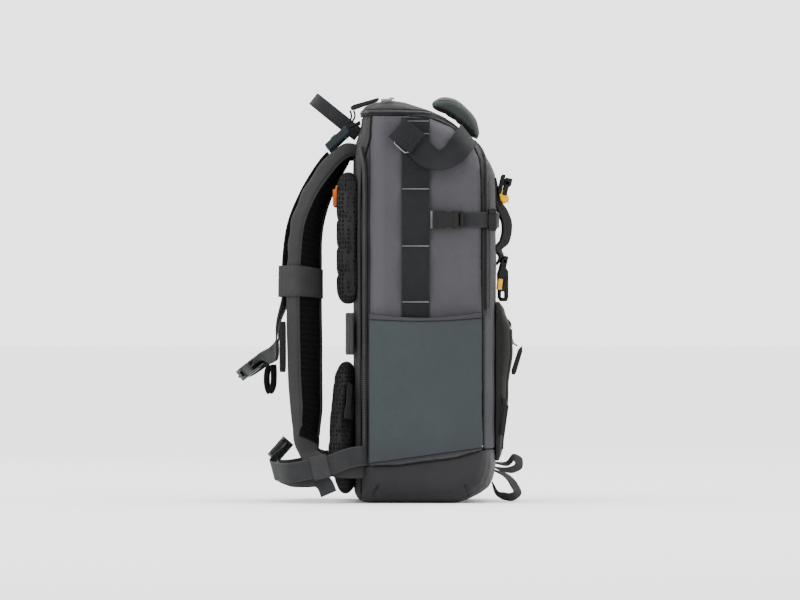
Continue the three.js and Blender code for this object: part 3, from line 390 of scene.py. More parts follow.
def build(name, points, faces, finishes, flat_map=None, picks=None):
    """A mesh from points in millimetres. flat_map gives each face corner its place on the cloth, in metres."""
    mesh = bpy.data.meshes.new(name)
    mesh.from_pydata([Vector(p) * MM for p in points], [], faces)
    for finish in finishes:
        mesh.materials.append(MATERIALS[finish])
    if flat_map:
        layer = mesh.uv_layers.new(name="cloth")
        for loop, place in zip(layer.data, flat_map):
            loop.uv = place
    if picks:
        mesh.polygons.foreach_set("material_index", picks)
    mesh.polygons.foreach_set("use_smooth", [True] * len(mesh.polygons))
    mesh.update()
    return linked(name, mesh)


def dress(obj, finish, nodes=()):
    """The piece rides on the bag and stands for the solids that it covers. finish is not used."""
    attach(obj, "root")
    if nodes:
        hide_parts(*nodes)
    return obj


def applied(obj):
    """The object with its modifiers made real."""
    result = bpy.data.meshes.new_from_object(obj.evaluated_get(bpy.context.evaluated_depsgraph_get()))
    obj.modifiers.clear()
    old = obj.data
    obj.data = result
    bpy.data.meshes.remove(old)
    return obj


def modify(obj, kind, **settings):
    modifier = obj.modifiers.new(kind.lower(), kind)
    for key, value in settings.items():
        setattr(modifier, key, value)
    return modifier


def mirror_of(obj, name):
    """The same piece on the wearer's right."""
    mesh = obj.data.copy()
    mesh.transform(Matrix.Diagonal((1, -1, 1, 1)))
    mesh.flip_normals()
    return linked(name, mesh)


def dress_pair(obj, finish, node=None, plump=None):
    """Dresses a left piece and its mirror image."""
    stem = obj.name
    obj.name = stem + "_left"
    twin = mirror_of(obj, stem + "_right")
    for piece, side in ((obj, "_left"), (twin, "_right")):
        dress(piece, finish, (node + side,) if node else ())
    return obj, twin


def merged_copy(node, name):
    """A copy of a solid's mesh with its loose triangles joined."""
    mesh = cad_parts[node].data.copy()
    mesh.materials.clear()
    work = bmesh.new()
    work.from_mesh(mesh)
    bmesh.ops.remove_doubles(work, verts=work.verts, dist=0.00002)
    work.to_mesh(mesh)
    work.free()
    return linked(name, mesh)


def shade_smooth(obj, finish):
    obj.data.materials.clear()
    obj.data.materials.append(MATERIALS[finish])
    obj.data.polygons.foreach_set("material_index", [0] * len(obj.data.polygons))
    obj.data.polygons.foreach_set("use_smooth", [True] * len(obj.data.polygons))
    obj.data.update()


def swell(obj, amount):
    """Moves each point along its normal by amount(place in millimetres, normal), in millimetres."""
    mesh = obj.data
    normals = [v.normal.copy() for v in mesh.vertices]
    for vertex, normal in zip(mesh.vertices, normals):
        vertex.co += normal * (amount(vertex.co / MM, normal) * MM)
    mesh.update()


def remeshed(node, name, voxel, factor=0.5, turns=4):
    """A solid's form in even faces, its edges relaxed."""
    obj = merged_copy(node, name)
    modify(obj, "REMESH", mode="VOXEL", voxel_size=voxel * MM, adaptivity=0)
    modify(obj, "SMOOTH", factor=factor, iterations=turns)
    return applied(obj)


def soft_panel(node, name, finish, voxel, amount):
    """A solid's form in cloth, creased and filled out by `amount`."""
    obj = remeshed(node, name, voxel, turns=3)
    swell(obj, amount)
    shade_smooth(obj, finish)
    return dress(obj, finish, (node,))


CLOTH_STEPS = 20


def filled(obj, pressure, cap):
    """Blows a pad up with Cloth, holds how far each point may go, and smooths it once."""
    start = [v.co.copy() for v in obj.data.vertices]
    cloth = modify(obj, "CLOTH")
    cloth.settings.use_pressure = True
    cloth.settings.uniform_pressure_force = pressure
    cloth.settings.effector_weights.gravity = 0
    cloth.point_cache.frame_start, cloth.point_cache.frame_end = 1, CLOTH_STEPS
    scene = bpy.context.scene
    for step in range(1, CLOTH_STEPS + 1):
        scene.frame_set(step)
        bpy.context.view_layer.update()
    applied(obj)
    scene.frame_set(1)
    for vertex, home in zip(obj.data.vertices, start):
        move = vertex.co - home
        if move.length > cap * MM:
            vertex.co = home + move.normalized() * (cap * MM)
    modify(obj, "SUBSURF", levels=1, render_levels=1)
    return applied(obj)


def plump_pad(node, name, finish, voxel, amount, factor=0.5, turns=4, pressure=4.0, cap=4.0):
    """A pad blown up with cloth, then sewn down or creased by `amount`."""
    pad = filled(remeshed(node, name, voxel, factor, turns), pressure, cap)
    swell(pad, amount)
    shade_smooth(pad, finish)
    dress(pad, finish, (node,))


# Routes, webbing and pads


def route(points):
    """The smooth curve of the solids: centripetal Catmull-Rom. Returns its place at a share from 0 to 1."""
    spots = [Vector(p) for p in points]

    def at(share):
        run = min(max(share, 0.0), 1.0) * (len(spots) - 1)
        i = min(int(run), len(spots) - 2)
        w = run - i
        b, c = spots[i], spots[i + 1]
        a = spots[i - 1] if i > 0 else b * 2 - c
        d = spots[i + 2] if i + 2 < len(spots) else c * 2 - b
        first, middle, last = (max((q - p).length, 1e-6) ** 0.5 for p, q in ((a, b), (b, c), (c, d)))
        leave = ((b - a) / first - (c - a) / (first + middle) + (c - b) / middle) * middle
        reach = ((c - b) / middle - (d - b) / (middle + last) + (d - c) / last) * middle
        return b + leave * w + (c * 3 - b * 3 - leave * 2 - reach) * w ** 2 + (b * 2 - c * 2 + leave + reach) * w ** 3

    return at


def heading(at, share, step=0.0005):
    return (at(min(share + step, 1)) - at(max(share - step, 0))).normalized()


def square_to(tangent, across):
    """A direction made square to the way that something runs."""
    return (across - tangent * across.dot(tangent)).normalized()


def frames(rows, steps):
    """Stations along rows of (place, across, wide, thick): place, across, normal, wide, thick, length so far."""
    at = route([row[0] for row in rows])
    length, before, stations = 0.0, None, []
    for k in range(steps + 1):
        share = k / steps
        run = share * (len(rows) - 1)
        i = min(int(run), len(rows) - 2)
        mix = run - i
        here, tangent = at(share), heading(at, share)
        across = square_to(tangent, Vector(rows[i][1]).lerp(Vector(rows[i + 1][1]), mix))
        wide, thick = (rows[i][n] * (1 - mix) + rows[i + 1][n] * mix for n in (2, 3))
        length += (here - before).length if before else 0.0
        before = here
        stations.append((here, across, tangent.cross(across), wide, thick, length))
    return stations


def swept(name, stations, ring, finishes, pick=None):
    """A closed solid through stations. ring(wide, thick) gives (across, up, place on the cloth) for each corner."""
    points, faces, flat_map, picks = [], [], [], []
    for here, across, up, wide, thick, _ in stations:
        points += [here + across * a + up * b for a, b, _ in ring(wide, thick)]
    count = len(points) // len(stations)
    for s in range(len(stations) - 1):
        marks = ring(stations[s][3], stations[s][4])
        low, high = stations[s][5] * MM, stations[s + 1][5] * MM
        for i in range(count):
            j = (i + 1) % count
            a, b = s * count + i, s * count + j
            faces.append((a, a + count, b + count, b))
            near, far = marks[i][2] * MM, marks[j][2] * MM
            flat_map += [(low, near), (high, near), (high, far), (low, far)]
            picks.append(pick(i, s / (len(stations) - 1)) if pick else 0)
    faces.append(tuple(range(count)))
    last = (len(stations) - 1) * count
    faces.append(tuple(reversed(range(last, last + count))))
    flat_map += [(0.0, 0.0)] * (2 * count)
    picks += [0, 0]
    return build(name, points, faces, finishes, flat_map, picks)


def tape_ring(wide, thick):
    """Webbing's section: flat, with rounded edges."""
    half, lip = wide / 2, thick / 2
    shares = (1.0, 0.97, 0.88, 0.5, 0.0, -0.5, -0.88, -0.97, -1.0)
    rise = (0.35, 0.8, 1.0, 0.94, 1.0, 0.94, 1.0, 0.8, 0.35)
    upper = [(s * half, r * lip, s * half) for s, r in zip(shares, rise)]
    return upper + [(a, -b, v) for a, b, v in reversed(upper)]


def pad_ring(count=36, square=0.62):
    """A padded strap's section: a rounded slab, its place on the cloth counted round it."""
    def ring(wide, thick):
        marks, length, before = [], 0.0, None
        for k in range(count):
            turn = 2 * math.pi * k / count
            c, s = math.cos(turn), math.sin(turn)
            spot = (math.copysign(abs(c) ** square, c) * wide / 2, math.copysign(abs(s) ** square, s) * thick / 2)
            if before:
                length += math.dist(spot, before)
            before = spot
            marks.append((*spot, length))
        return marks
    return ring


def round_ring(sides, turn=1):
    """A cord's section. turn is -1 where its corners run the other way round."""
    angles = [2 * math.pi * k / sides for k in range(sides)]
    return lambda wide, thick: [
        (math.cos(t) * wide / 2, turn * math.sin(t) * thick / 2, t * wide / 2) for t in angles]


def lay_webbing(name, rows, wide, finish, node, steps=None, thick=WEB_THICK, pair=False):
    """Webbing through rows of (place, direction of its width), for one solid or, as a pair, for two."""
    rows = [(Vector(at), Vector(across), wide, thick) for at, across in rows]
    strap = swept(name, frames(rows, steps or 14 * (len(rows) - 1)), tape_ring, [finish])
    if pair:
        dress_pair(strap, finish, node)
    else:
        dress(strap, finish, (node,))


def tube(name, points, radius, finish, steps):
    """A round cord through points."""
    rows = [(Vector(p), Vector((0.31, 0.82, 0.48)), 2 * radius, 2 * radius) for p in points]
    return swept(name, frames(rows, steps), round_ring(8), [finish])


# Where things lie on the bag

SHELL = ("side_panel_left", "side_panel_right", "front_panel", "back_panel", "lid", "base_boot")


def tree_of(*meshes):
    """The joined outside of some meshes, to lay things on."""
    work = bmesh.new()
    for mesh in meshes:
        work.from_mesh(mesh)
    tree = BVHTree.FromBMesh(work)
    work.free()
    return tree


def surface_of(*nodes):
    return tree_of(*(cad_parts[node].data for node in nodes))


BAG = surface_of(*SHELL)
LOOKS = {"side": Vector((0, 1, 0)), "front": Vector((-1, 0, 0)), "top": Vector((0, 0, -1))}


def laid(look, first, second, lift=0.0, tree=BAG):
    """The place and outward normal where a view line meets the bag.

    The side view takes (x, z), the front view (y, z) and the view from the top (x, y).
    """
    way = LOOKS[look]
    start = {"side": (first, -400, second), "front": (400, first, second), "top": (first, second, 900)}[look]
    place, normal, _, _ = tree.ray_cast(Vector(start) * MM, way)
    if place is None:
        return None, None
    if normal.dot(way) > 0:
        normal = -normal
    return place / MM + normal * lift, normal


def trail(look, spots, count, lift=0.0, tree=BAG):
    """Places and normals along a line drawn in one view, evenly spread and smoothed."""
    at = route([(a, b, 0) for a, b in spots])
    found = []
    for k in range(count + 1):
        spot = at(k / count)
        place, normal = laid(look, spot.x, spot.y, lift, tree)
        if place is not None:
            found.append((place, normal))
    return found


def settled(found, turns=2):
    """Normals averaged along a trail, so that a facet's edge does not show in what lies on it."""
    places, normals = [p for p, _ in found], [n for _, n in found]
    for _ in range(turns):
        normals = [(normals[max(i - 1, 0)] + normals[i] + normals[min(i + 1, len(normals) - 1)]).normalized()
                   for i in range(len(normals))]
    return list(zip(places, normals))


def stations_on(found, wide, thick, raised=0.0, facing=1):
    """Stations along a trail, raised off it. facing is -1 where their up side looks into the bag."""
    places = [place for place, _ in found]
    length, stations = 0.0, []
    for i, (place, normal) in enumerate(found):
        way = (places[min(i + 1, len(places) - 1)] - places[max(i - 1, 0)]).normalized()
        length += (place - places[i - 1]).length if i else 0.0
        across = way.cross(normal).normalized()
        stations.append((place + normal * raised, across, normal * facing, wide, thick, length))
    return stations


def cord_pair(name, found, radius, finish="piping"):
    """A thin raised line on both sides, such as piping or a seam's roll, along a trail."""
    dress_pair(swept(name, stations_on(found, 2 * radius, 2 * radius), round_ring(7, -1), [finish]), finish)


def tape_on(name, found, wide, thick, finish):
    """A flat tape that follows a trail on the bag."""
    return swept(name, stations_on(found, wide, thick, thick / 2, -1), tape_ring, [finish])


# Stitches and zip teeth


SIZES = ("Pitch", "Long", "Wide", "High")

# Those sizes of each kind of stitch, and of a tooth of the front pocket's zips
SEAM_STITCH = (3.2, 2.3, 0.55, 0.4)
EDGE_STITCH = (3.0, 2.0, 0.4, 0.3)
BAR_TACK = (0.62, 1.0, 2.3, 0.9)
POCKET_STITCH = (3.0, 2.1, 0.5, 0.35)
PATCH_STITCH = (3.0, 2.1, 0.6, 0.4)
STRAP_STITCH = (3.2, 2.2, 0.5, 0.35)
BOX_STITCH = (2.4, 1.8, 0.5, 0.5)
TOOTH_HIGH = 1.1
POCKET_TOOTH = (1.9, 0.95, 1.7, TOOTH_HIGH)


def repeat_tree(name, tooth):
    """Puts a stitch or a tooth at every pitch along lines whose points know which way is out."""
    tree = bpy.data.node_groups.new(name, "GeometryNodeTree")
    face = tree.interface
    face.new_socket("Geometry", in_out="INPUT", socket_type="NodeSocketGeometry")
    for size in SIZES:
        face.new_socket(size, in_out="INPUT", socket_type="NodeSocketFloat")
    face.new_socket("Finish", in_out="INPUT", socket_type="NodeSocketMaterial")
    face.new_socket("Geometry", in_out="OUTPUT", socket_type="NodeSocketGeometry")
    nodes, links = tree.nodes, tree.links
    source, result = nodes.new("NodeGroupInput"), nodes.new("NodeGroupOutput")
    line, spaced = nodes.new("GeometryNodeMeshToCurve"), nodes.new("GeometryNodeResampleCurve")
    if hasattr(spaced, "mode"):
        spaced.mode = "LENGTH"
    else:
        spaced.inputs["Mode"].default_value = "Length"
    links.new(source.outputs["Geometry"], line.inputs["Mesh"])
    links.new(line.outputs[0], spaced.inputs["Curve"])
    links.new(source.outputs["Pitch"], spaced.inputs["Length"])
    one = nodes.new("GeometryNodeMeshCube" if tooth else "GeometryNodeMeshIcoSphere")
    if not tooth:
        one.inputs["Radius"].default_value = 0.5
        one.inputs["Subdivisions"].default_value = 1
    size = nodes.new("ShaderNodeCombineXYZ")
    for axis, part in zip("XYZ", SIZES[1:]):
        links.new(source.outputs[part], size.inputs[axis])
    out = nodes.new("GeometryNodeInputNamedAttribute")
    out.data_type = "FLOAT_VECTOR"
    out.inputs["Name"].default_value = "out"
    along = nodes.new("GeometryNodeInputTangent")
    turn = nodes.new("FunctionNodeAxesToRotation")
    turn.primary_axis, turn.secondary_axis = "Z", "X"
    links.new(out.outputs[0], turn.inputs[0])
    links.new(along.outputs[0], turn.inputs[1])
    put = nodes.new("GeometryNodeInstanceOnPoints")
    links.new(spaced.outputs["Curve"], put.inputs["Points"])
    links.new(one.outputs["Mesh"], put.inputs["Instance"])
    links.new(turn.outputs[0], put.inputs["Rotation"])
    links.new(size.outputs[0], put.inputs["Scale"])
    real, paint = nodes.new("GeometryNodeRealizeInstances"), nodes.new("GeometryNodeSetMaterial")
    links.new(put.outputs[0], real.inputs[0])
    links.new(real.outputs[0], paint.inputs["Geometry"])
    links.new(source.outputs["Finish"], paint.inputs["Material"])
    links.new(paint.outputs[0], result.inputs[0])
    return tree


STITCHES, TEETH = repeat_tree("stitches", False), repeat_tree("zip_teeth", True)


def repeated(name, trails, tree, sizes, finish, both=True):
    """Stitches or teeth along trails on the left and, mirrored, on the right."""
    points, edges, outs = [], [], []
    for found in trails:
        for sign in (1, -1) if both else (1,):
            first = len(points)
            for place, normal in found:
                points.append(Vector((place.x, place.y * sign, place.z)) * MM)
                outs.append(Vector((normal.x, normal.y * sign, normal.z)))
            edges += [(first + i, first + i + 1) for i in range(len(found) - 1)]
    mesh = bpy.data.meshes.new(name)
    mesh.from_pydata(points, edges, [])
    layer = mesh.attributes.new("out", "FLOAT_VECTOR", "POINT")
    for item, value in zip(layer.data, outs):
        item.vector = value
    obj = linked(name, mesh)
    modifier = modify(obj, "NODES", node_group=tree)
    wanted = {size: value * MM for size, value in zip(SIZES, sizes)}
    wanted["Finish"] = MATERIALS[finish]
    for socket in tree.interface.items_tree:
        if socket.in_out == "INPUT" and socket.name in wanted:
            modifier[socket.identifier] = wanted[socket.name]
    applied(obj)
    obj.data.polygons.foreach_set("use_smooth", [tree is STITCHES] * len(obj.data.polygons))
    return dress(obj, finish)


# The bag's panels

# Seams in the side view, in millimetres: (x, z).
LID_SEAM = [(-82, 504.3), (-45, 504.3), (-25, 503.8), (8, 501.2), (34, 489.6), (44.7, 480.9)]
FRONT_SEAM = [(44.7, 480.9), (54, 473.8), (64, 463), (70.7, 446.4), (73.9, 407), (74.6, 300), (74.6, 150), (74.6, 70)]
BASE_SEAM = [(-82, 48.8), (-37, 48.8), (0, 54), (39.5, 59), (74.6, 69.6)]
REAR_SEAM = [(-83.4, 12), (-83.4, 200), (-83.4, 411), (-81, 443), (-72.4, 474), (-70, 504)]


def undulation(scale, depth, seed):
    """Slow soft waves over cloth: a function of the place in millimetres, for swell()."""
    def amount(place, normal):
        return depth * noise.noise(Vector((place.x / scale + seed, place.y / scale, place.z / scale)))
    return amount


def ripple(place, *reach):
    """Soft noise, from -1 to 1, with a length along each axis."""
    return noise.noise(Vector([at / length for at, length in zip(place, reach)]))


def off_line(spot, start, end):
    """How far a spot in a view is from a line drawn there."""
    spot, start, way = Vector(spot), Vector(start), Vector(end) - Vector(start)
    share = max(0, min(1, (spot - start).dot(way) / way.length_squared))
    return (spot - start - way * share).length


def side_form(place, normal):
    """The side panel: slow waves, a filled middle and small puckers beside the seam at its front."""
    wave = 1.3 * ripple(place, 38, 60, 62)
    if abs(place.y) < 120:
        return wave * 0.4
    front = math.exp(-abs(place.x - 66) / 7)
    pucker = 1.2 * front * noise.noise(Vector((place.x / 30, 3.1, place.z / 9)))
    web = math.exp(-abs(abs(place.x + 12) - 21) / 6) if place.z > 240 else 0
    dent = 1.0 * web * noise.noise(Vector((place.x / 20, 7.7, place.z / 14)))
    return wave + pucker + dent


# The short darts of the base in the side view: from and to
DARTS = [((-69, 7), (-61, 23)), ((52, 24), (58.5, 7))]


def boot_form(place, normal):
    """The base: the darts' short folds and a slack lower edge."""
    if normal.z < -0.5:
        return 0.0
    wave = 0.7 * ripple(place, 35, 45, 30)
    fold = sum(-1.3 * math.exp(-(off_line((place.x, place.z), *dart) / 2.2) ** 2) for dart in DARTS)
    return (wave + fold) * min(1, place.z / 6)


def panels():
    for node, name, finish, voxel, form in (
            ("side_panel_left", "side_cloth_left", "side_fabric", 2.4, side_form),
            ("side_panel_right", "side_cloth_right", "side_fabric", 2.4, side_form),
            ("front_panel", "front_cloth", "front_fabric", 2.4, undulation(48, 0.9, 4)),
            ("back_panel", "back_cloth", "dark_fabric", 2.6, undulation(50, 0.8, 9)),
            ("lid", "lid_cloth", "dark_fabric", 2.2, undulation(38, 0.9, 2)),
            ("base_boot", "base_cloth", "base_fabric", 2.4, boot_form)):
        soft_panel(node, name, finish, voxel, form)


def side_cord(name, spots, count, radius, lift=0.2):
    cord_pair(name, settled(trail("side", spots, count, lift)), radius)


def side_seams():
    """Rolled seams round the side panels and the stitches beside them."""
    side_cord("lid_seam", LID_SEAM, 60, 0.9)
    side_cord("lid_binding", [(x, z + 8.5) for x, z in LID_SEAM], 60, 0.8)
    side_cord("front_seam", FRONT_SEAM, 110, 1.0)
    side_cord("front_binding", [(x + 8.5, z + 2) for x, z in FRONT_SEAM[1:6]] + [(83, 255)], 110, 0.9)
    side_cord("base_seam", BASE_SEAM, 60, 0.8)
    side_cord("rear_seam", REAR_SEAM, 110, 1.0)
    for name, line in (("rear_dart", [(-69, 8), (-66, 14), (-61, 23)]),
                       ("front_dart", [(52, 24), (55.5, 14), (58.5, 8)])):
        side_cord(name, line, 20, 0.6, 0.0)
    side_cord("side_strip_seam", [(-71.6, 55), (-71.6, 250), (-71.6, 440), (-70.8, 500)], 110, 0.7)
    rows = {
        "lid_stitches": [[(x, z - 3.2) for x, z in LID_SEAM], [(x, z + 11) for x, z in LID_SEAM]],
        "side_stitches": [
            [(-68.6, 52), (-68.6, 250), (-68.6, 440), (-67.8, 498)],
            [(x - 4, z - 2) for x, z in FRONT_SEAM[2:6]] + [(70.6, 252)],
        ],
        "base_stitches": [[(x, z - 3.2) for x, z in BASE_SEAM], [(x, z - 5.4) for x, z in BASE_SEAM]],
    }
    for name, lines in rows.items():
        found = [settled(trail("side", line, 90, 0.25)) for line in lines]
        repeated(name, found, STITCHES, SEAM_STITCH, "stitch")


def zip_pair(name, spots, count, tape, lift, pitch=1.9):
    """A closed coil zip: its tape and the two rows of its teeth, on both sides of the bag."""
    found = settled(trail("side", spots, count, lift))
    dress_pair(tape_on(name + "_tape", found, tape, 0.9, "tape_fabric"), "tape_fabric")
    above = [(place + normal * 1.1, normal) for place, normal in found]
    ways = [(b[0] - a[0]).normalized() for a, b in zip(above, above[1:])]
    ways.append(ways[-1])
    rows = [[(place + way.cross(normal).normalized() * (0.44 * pitch * side), normal)
             for (place, normal), way in zip(above, ways)] for side in (-1, 1)]
    repeated(name + "_teeth", rows, TEETH, (pitch, 0.5 * pitch, 0.9 * pitch, TOOTH_HIGH), "zip_teeth")


def zips():
    rear = [(-77.3, 58), (-77.3, 150), (-77.3, 300), (-77.3, 415), (-78.5, 440), (-82.5, 462)]
    zip_pair("rear_zip", rear, 220, 9, 1.2, 2.6)
    zip_pair("front_zip", [(64, 471), (72, 462), (77.6, 446), (79, 410), (79.4, 330), (79.4, 252)], 180, 7, 1.5)
    zip_pair("lid_zip", [(x, z + 4.2) for x, z in LID_SEAM], 120, 6, 1.3)


# The daisy chain

DAISY_X, DAISY_TOP, DAISY_LOW, DAISY_BULGE = -12.2, 0.952, 0.455, 5
DAISY_TACKS = [0.943, 0.912, 0.776, 0.635, 0.497]


def daisy_rows():
    flat = SEAT_GAP + WEB_THICK / 2 + 0.4
    rows = [(DAISY_TOP, flat)]
    for i, high in enumerate(DAISY_TACKS):
        rows.append((high, flat))
        if i + 1 == len(DAISY_TACKS):
            continue
        gap = high - DAISY_TACKS[i + 1]
        full = min(1, gap / 0.14)
        for k in range(1, 8):
            rows.append((high - gap * k / 8, flat + full * DAISY_BULGE * math.sin(math.pi * k / 8) ** 0.8))
    return rows + [(DAISY_LOW, flat)]


def daisy_chain():
    rows = [(Vector((DAISY_X, -HALF - stand, high_at(high))), Vector((1, 0, 0))) for high, stand in daisy_rows()]
    lay_webbing("daisy_chain", rows, WEB_WIDE, "wide_webbing", "daisy_chain", 150, pair=True)
    stand = -HALF - SEAT_GAP - WEB_THICK - 1.0
    bars = [[(Vector((DAISY_X + side * WEB_WIDE * 0.46, stand, high_at(high))), Vector((0, -1, 0)))
             for side in (-1, 1)] for high in DAISY_TACKS]
    repeated("daisy_tacks", bars, STITCHES, BAR_TACK, "pale_stitch")
    inset = WEB_WIDE / 2 - 2.6
    edges = [[(Vector((DAISY_X + side * inset, -HALF - out - 1.05, high_at(high))), Vector((0, -1, 0)))
              for high, out in daisy_rows()] for side in (-1, 1)]
    repeated("daisy_edges", edges, STITCHES, EDGE_STITCH, "dark_stitch")


# The stretch pockets

POCKET_PLAN = [(0, 0.22), (0.06, 0.5), (0.2, 0.82), (0.5, 1), (0.8, 0.82), (0.94, 0.5), (1, 0.22)]
POCKET_RISE = [(0.096, 0.135, 0.36), (0.15, 0.18, 0.62), (0.3, 0.3, 0.8), (0.44, 0.443, 0.95), (0.468, 0.472, 1)]
POCKET_BACK, POCKET_FRONT, POCKET_BULGE, CLOTH = 0.115, 0.893, 12, 2.5
LIP_HIGH = 10.5


def between(table, share, column):
    """A column of a table at a share of its first column."""
    for low, high in zip(table, table[1:]):
        if share <= high[0]:
            mix = (share - low[0]) / (high[0] - low[0])
            mix = mix * mix * (3 - 2 * mix) if column else mix
            return low[column] + (high[column] - low[column]) * mix
    return table[-1][column]


def pocket_spot(along, rise, out=0.0):
    """A place on the pocket's outside: shares of its length and of its height."""
    level = rise * (len(POCKET_RISE) - 1)
    i = min(int(level), len(POCKET_RISE) - 2)
    mix = level - i
    back, front, bulge = (POCKET_RISE[i][k] * (1 - mix) + POCKET_RISE[i + 1][k] * mix for k in range(3))
    sag = -0.012 * max(0, rise - 0.75) * 4
    plan = math.sin(math.pi * min(max(along, 0.02), 0.98)) ** 0.45
    x = deep_at(POCKET_BACK) + along * (deep_at(POCKET_FRONT) - deep_at(POCKET_BACK))
    z = high_at(back + (front - back) * along + sag * math.sin(along * math.pi))
    wave = 0.5 * noise.noise(Vector((x / 30, 1.3, z / 55)))
    return Vector((x, -HALF - max(plan * bulge * POCKET_BULGE + CLOTH + wave * plan, 0.7) - out, z))


def pocket_sheet(name, low, high, out, finish, thick, columns=64, rows=60):
    points, faces, flat_map = [], [], []
    for r in range(rows + 1):
        for c in range(columns + 1):
            points.append(pocket_spot(c / columns, low + (high - low) * r / rows, out))
    for r in range(rows):
        for c in range(columns):
            a = r * (columns + 1) + c
            face = (a, a + 1, a + columns + 2, a + columns + 1)
            faces.append(face)
            flat_map += [(points[k].x * MM, points[k].z * MM) for k in face]
    obj = build(name, points, faces, [finish], flat_map)
    modify(obj, "SOLIDIFY", thickness=thick * MM, offset=-1)
    return applied(obj)


def pocket_line(rise, out):
    return [(pocket_spot(k / 60, rise, out), Vector((0, -1, 0))) for k in range(61)]


def side_pockets():
    dress_pair(pocket_sheet("stretch_pocket", 0, 0.985, 0, "stretch_fabric", 1.9), "stretch_fabric", "side_pocket")
    span = high_at(POCKET_RISE[-1][0] - POCKET_RISE[-2][0])
    low = 1 - 0.25 * min(1, LIP_HIGH / span * 0.72)
    dress_pair(pocket_sheet("pocket_lip", low, 1, 0.7, "lip_fabric", 3.2, 64, 8), "lip_fabric")
    cord_pair("pocket_lip_seam", pocket_line(low, 0.6), 0.55)
    cord_pair("pocket_top_seam", pocket_line(1.0, 0.2), 0.55)
    repeated("pocket_stitches", [pocket_line(low + 0.02, 0.95)], STITCHES, POCKET_STITCH, "stitch")
    cord_pair("pocket_foot_seam", pocket_line(0.012, 0.1), 0.7)


# Back padding and hip belt


def quilted(lines, depth, reach=4.5):
    """Sewn channels on a pad: (y, z) lines in the back view. Gives the amount for swell()."""
    def amount(place, normal):
        if normal.x > -0.2:
            return 0.0
        return -depth * max(math.exp(-(off_line((place.y, place.z), *line) / reach) ** 2) for line in lines)
    return amount


# The belt pad's channels in the back view
BELT_CHANNELS = [((-100, 60), (-60, 150)), ((100, 60), (60, 150)), ((-40, 20), (-40, 165)), ((40, 20), (40, 165))]


def padding():
    for side, sign in (("left", -1), ("right", 1)):
        channels = [((sign * 20, z), (sign * 124, z + 10)) for z in (292, 328, 364, 400)]
        plump_pad("back_pad_" + side, "back_padding_" + side, "pad_mesh", 4.2, quilted(channels, 3.4))
    plump_pad("hip_belt_pad", "hip_padding", "pad_mesh", 4.5, quilted(BELT_CHANNELS, 3.2))


# The trolley strap: its edges as shares of the bag's height, and how far it stands off
TROLLEY_LOW, TROLLEY_TOP, TROLLEY_STAND = 0.366, 0.47, 7


def trolley_strap():
    rows = [(-0.82, -0.2), (-0.6, 1), (0, 1), (0.6, 1), (0.82, -0.2)]
    middle = high_at((TROLLEY_LOW + TROLLEY_TOP) / 2)
    spots = [(Vector((BACK - SEAT_GAP - out * TROLLEY_STAND - 0.4, side * HALF, middle)), Vector((0, 0, 1)))
             for side, out in rows]
    lay_webbing("trolley_sleeve", spots, high_at(TROLLEY_TOP - TROLLEY_LOW), "dark_fabric", "trolley_strap", 80)


# The patch on each wing of the belt: its line in the side view, how proud of the pad, how wide and how thick
PATCH_LINE = [(-104, 110), (-103, 132), (-101, 155)]
PATCH_LIFT, PATCH_WIDE, PATCH_THICK = 3.4, 17, 1.4


def hip_details():
    found = settled(trail("side", PATCH_LINE, 16, PATCH_LIFT, surface_of("hip_belt_pad")))
    dress_pair(tape_on("hip_patch", found, PATCH_WIDE, PATCH_THICK, "patch_fabric"), "patch_fabric")
    lines = [[(place + Vector((side, -1.3, 0)), normal) for place, normal in found] for side in (-7, 7)]
    repeated("hip_patch_stitches", lines, STITCHES, PATCH_STITCH, "stitch")


# The waist webbing
HIP_LEAN = Vector((-0.25, 0, 0.97))
HIP_STRAP = [(-0.118, 0.968, 0.118), (0.02, 1.025, 0.113), (0.193, 1.06, 0.095), (0.394, 1.035, 0.082),
             (0.537, 0.935, 0.075), (0.63, 0.7, 0.077), (0.68, 0.42, 0.084)]
HIP_TAIL = [(0.643, 0.4, 0.07, 0), (0.6, 0.68, 0.066, 0), (0.51, 0.89, 0.06, 0), (0.39, 0.995, 0.06, 0),
            (0.29, 1.005, 0.06, 0), (0.235, 1.005, 0.047, 0.6), (0.2, 1.005, 0.023, 1)]


class Buckle:
    """Where a fastened buckle sits: its middle, its length along the strap and the way it faces."""

    def __init__(self, at, along, facing, long):
        self.at, self.along, self.facing, self.long = at, Vector(along).normalized(), Vector(facing), long
        self.across = self.facing.cross(self.along).normalized()

    def end(self, sign):
        return self.at + self.along * (sign * (self.long / 2 + SEAT_GAP))


HIP_BUCKLE = Buckle(on_harness(0.62, 0, 0.128), (0, 1, 0), (-0.75, 0, 0.66), BUCKLE_LONG)
STERNUM_BUCKLE = Buckle(on_harness(0.866, 0, 0.335), (-0.3, 0.92, -0.25), (-0.6, 0, 0.8),
                        BUCKLE_LONG * STERNUM_BUCKLE_SCALE)


def hip_webbing():
    rows = [(on_harness(*row), HIP_LEAN) for row in HIP_STRAP]
    end, across = HIP_BUCKLE.end(-1), -HIP_BUCKLE.across
    rows += [(end - HIP_BUCKLE.along * 8, across), (end, across)]
    lay_webbing("waist_webbing", rows, WEB_MEDIUM, "belt_webbing", "hip_strap", pair=True)
    low = Vector((0.94, 0, 0.35))
    rows = [(on_harness(out, side, high), HIP_LEAN.lerp(low, lean)) for out, side, high, lean in HIP_TAIL]
    lay_webbing("waist_tail", rows, WEB_MEDIUM * 0.84, "belt_webbing", "hip_strap_tail")


# The shoulder harness

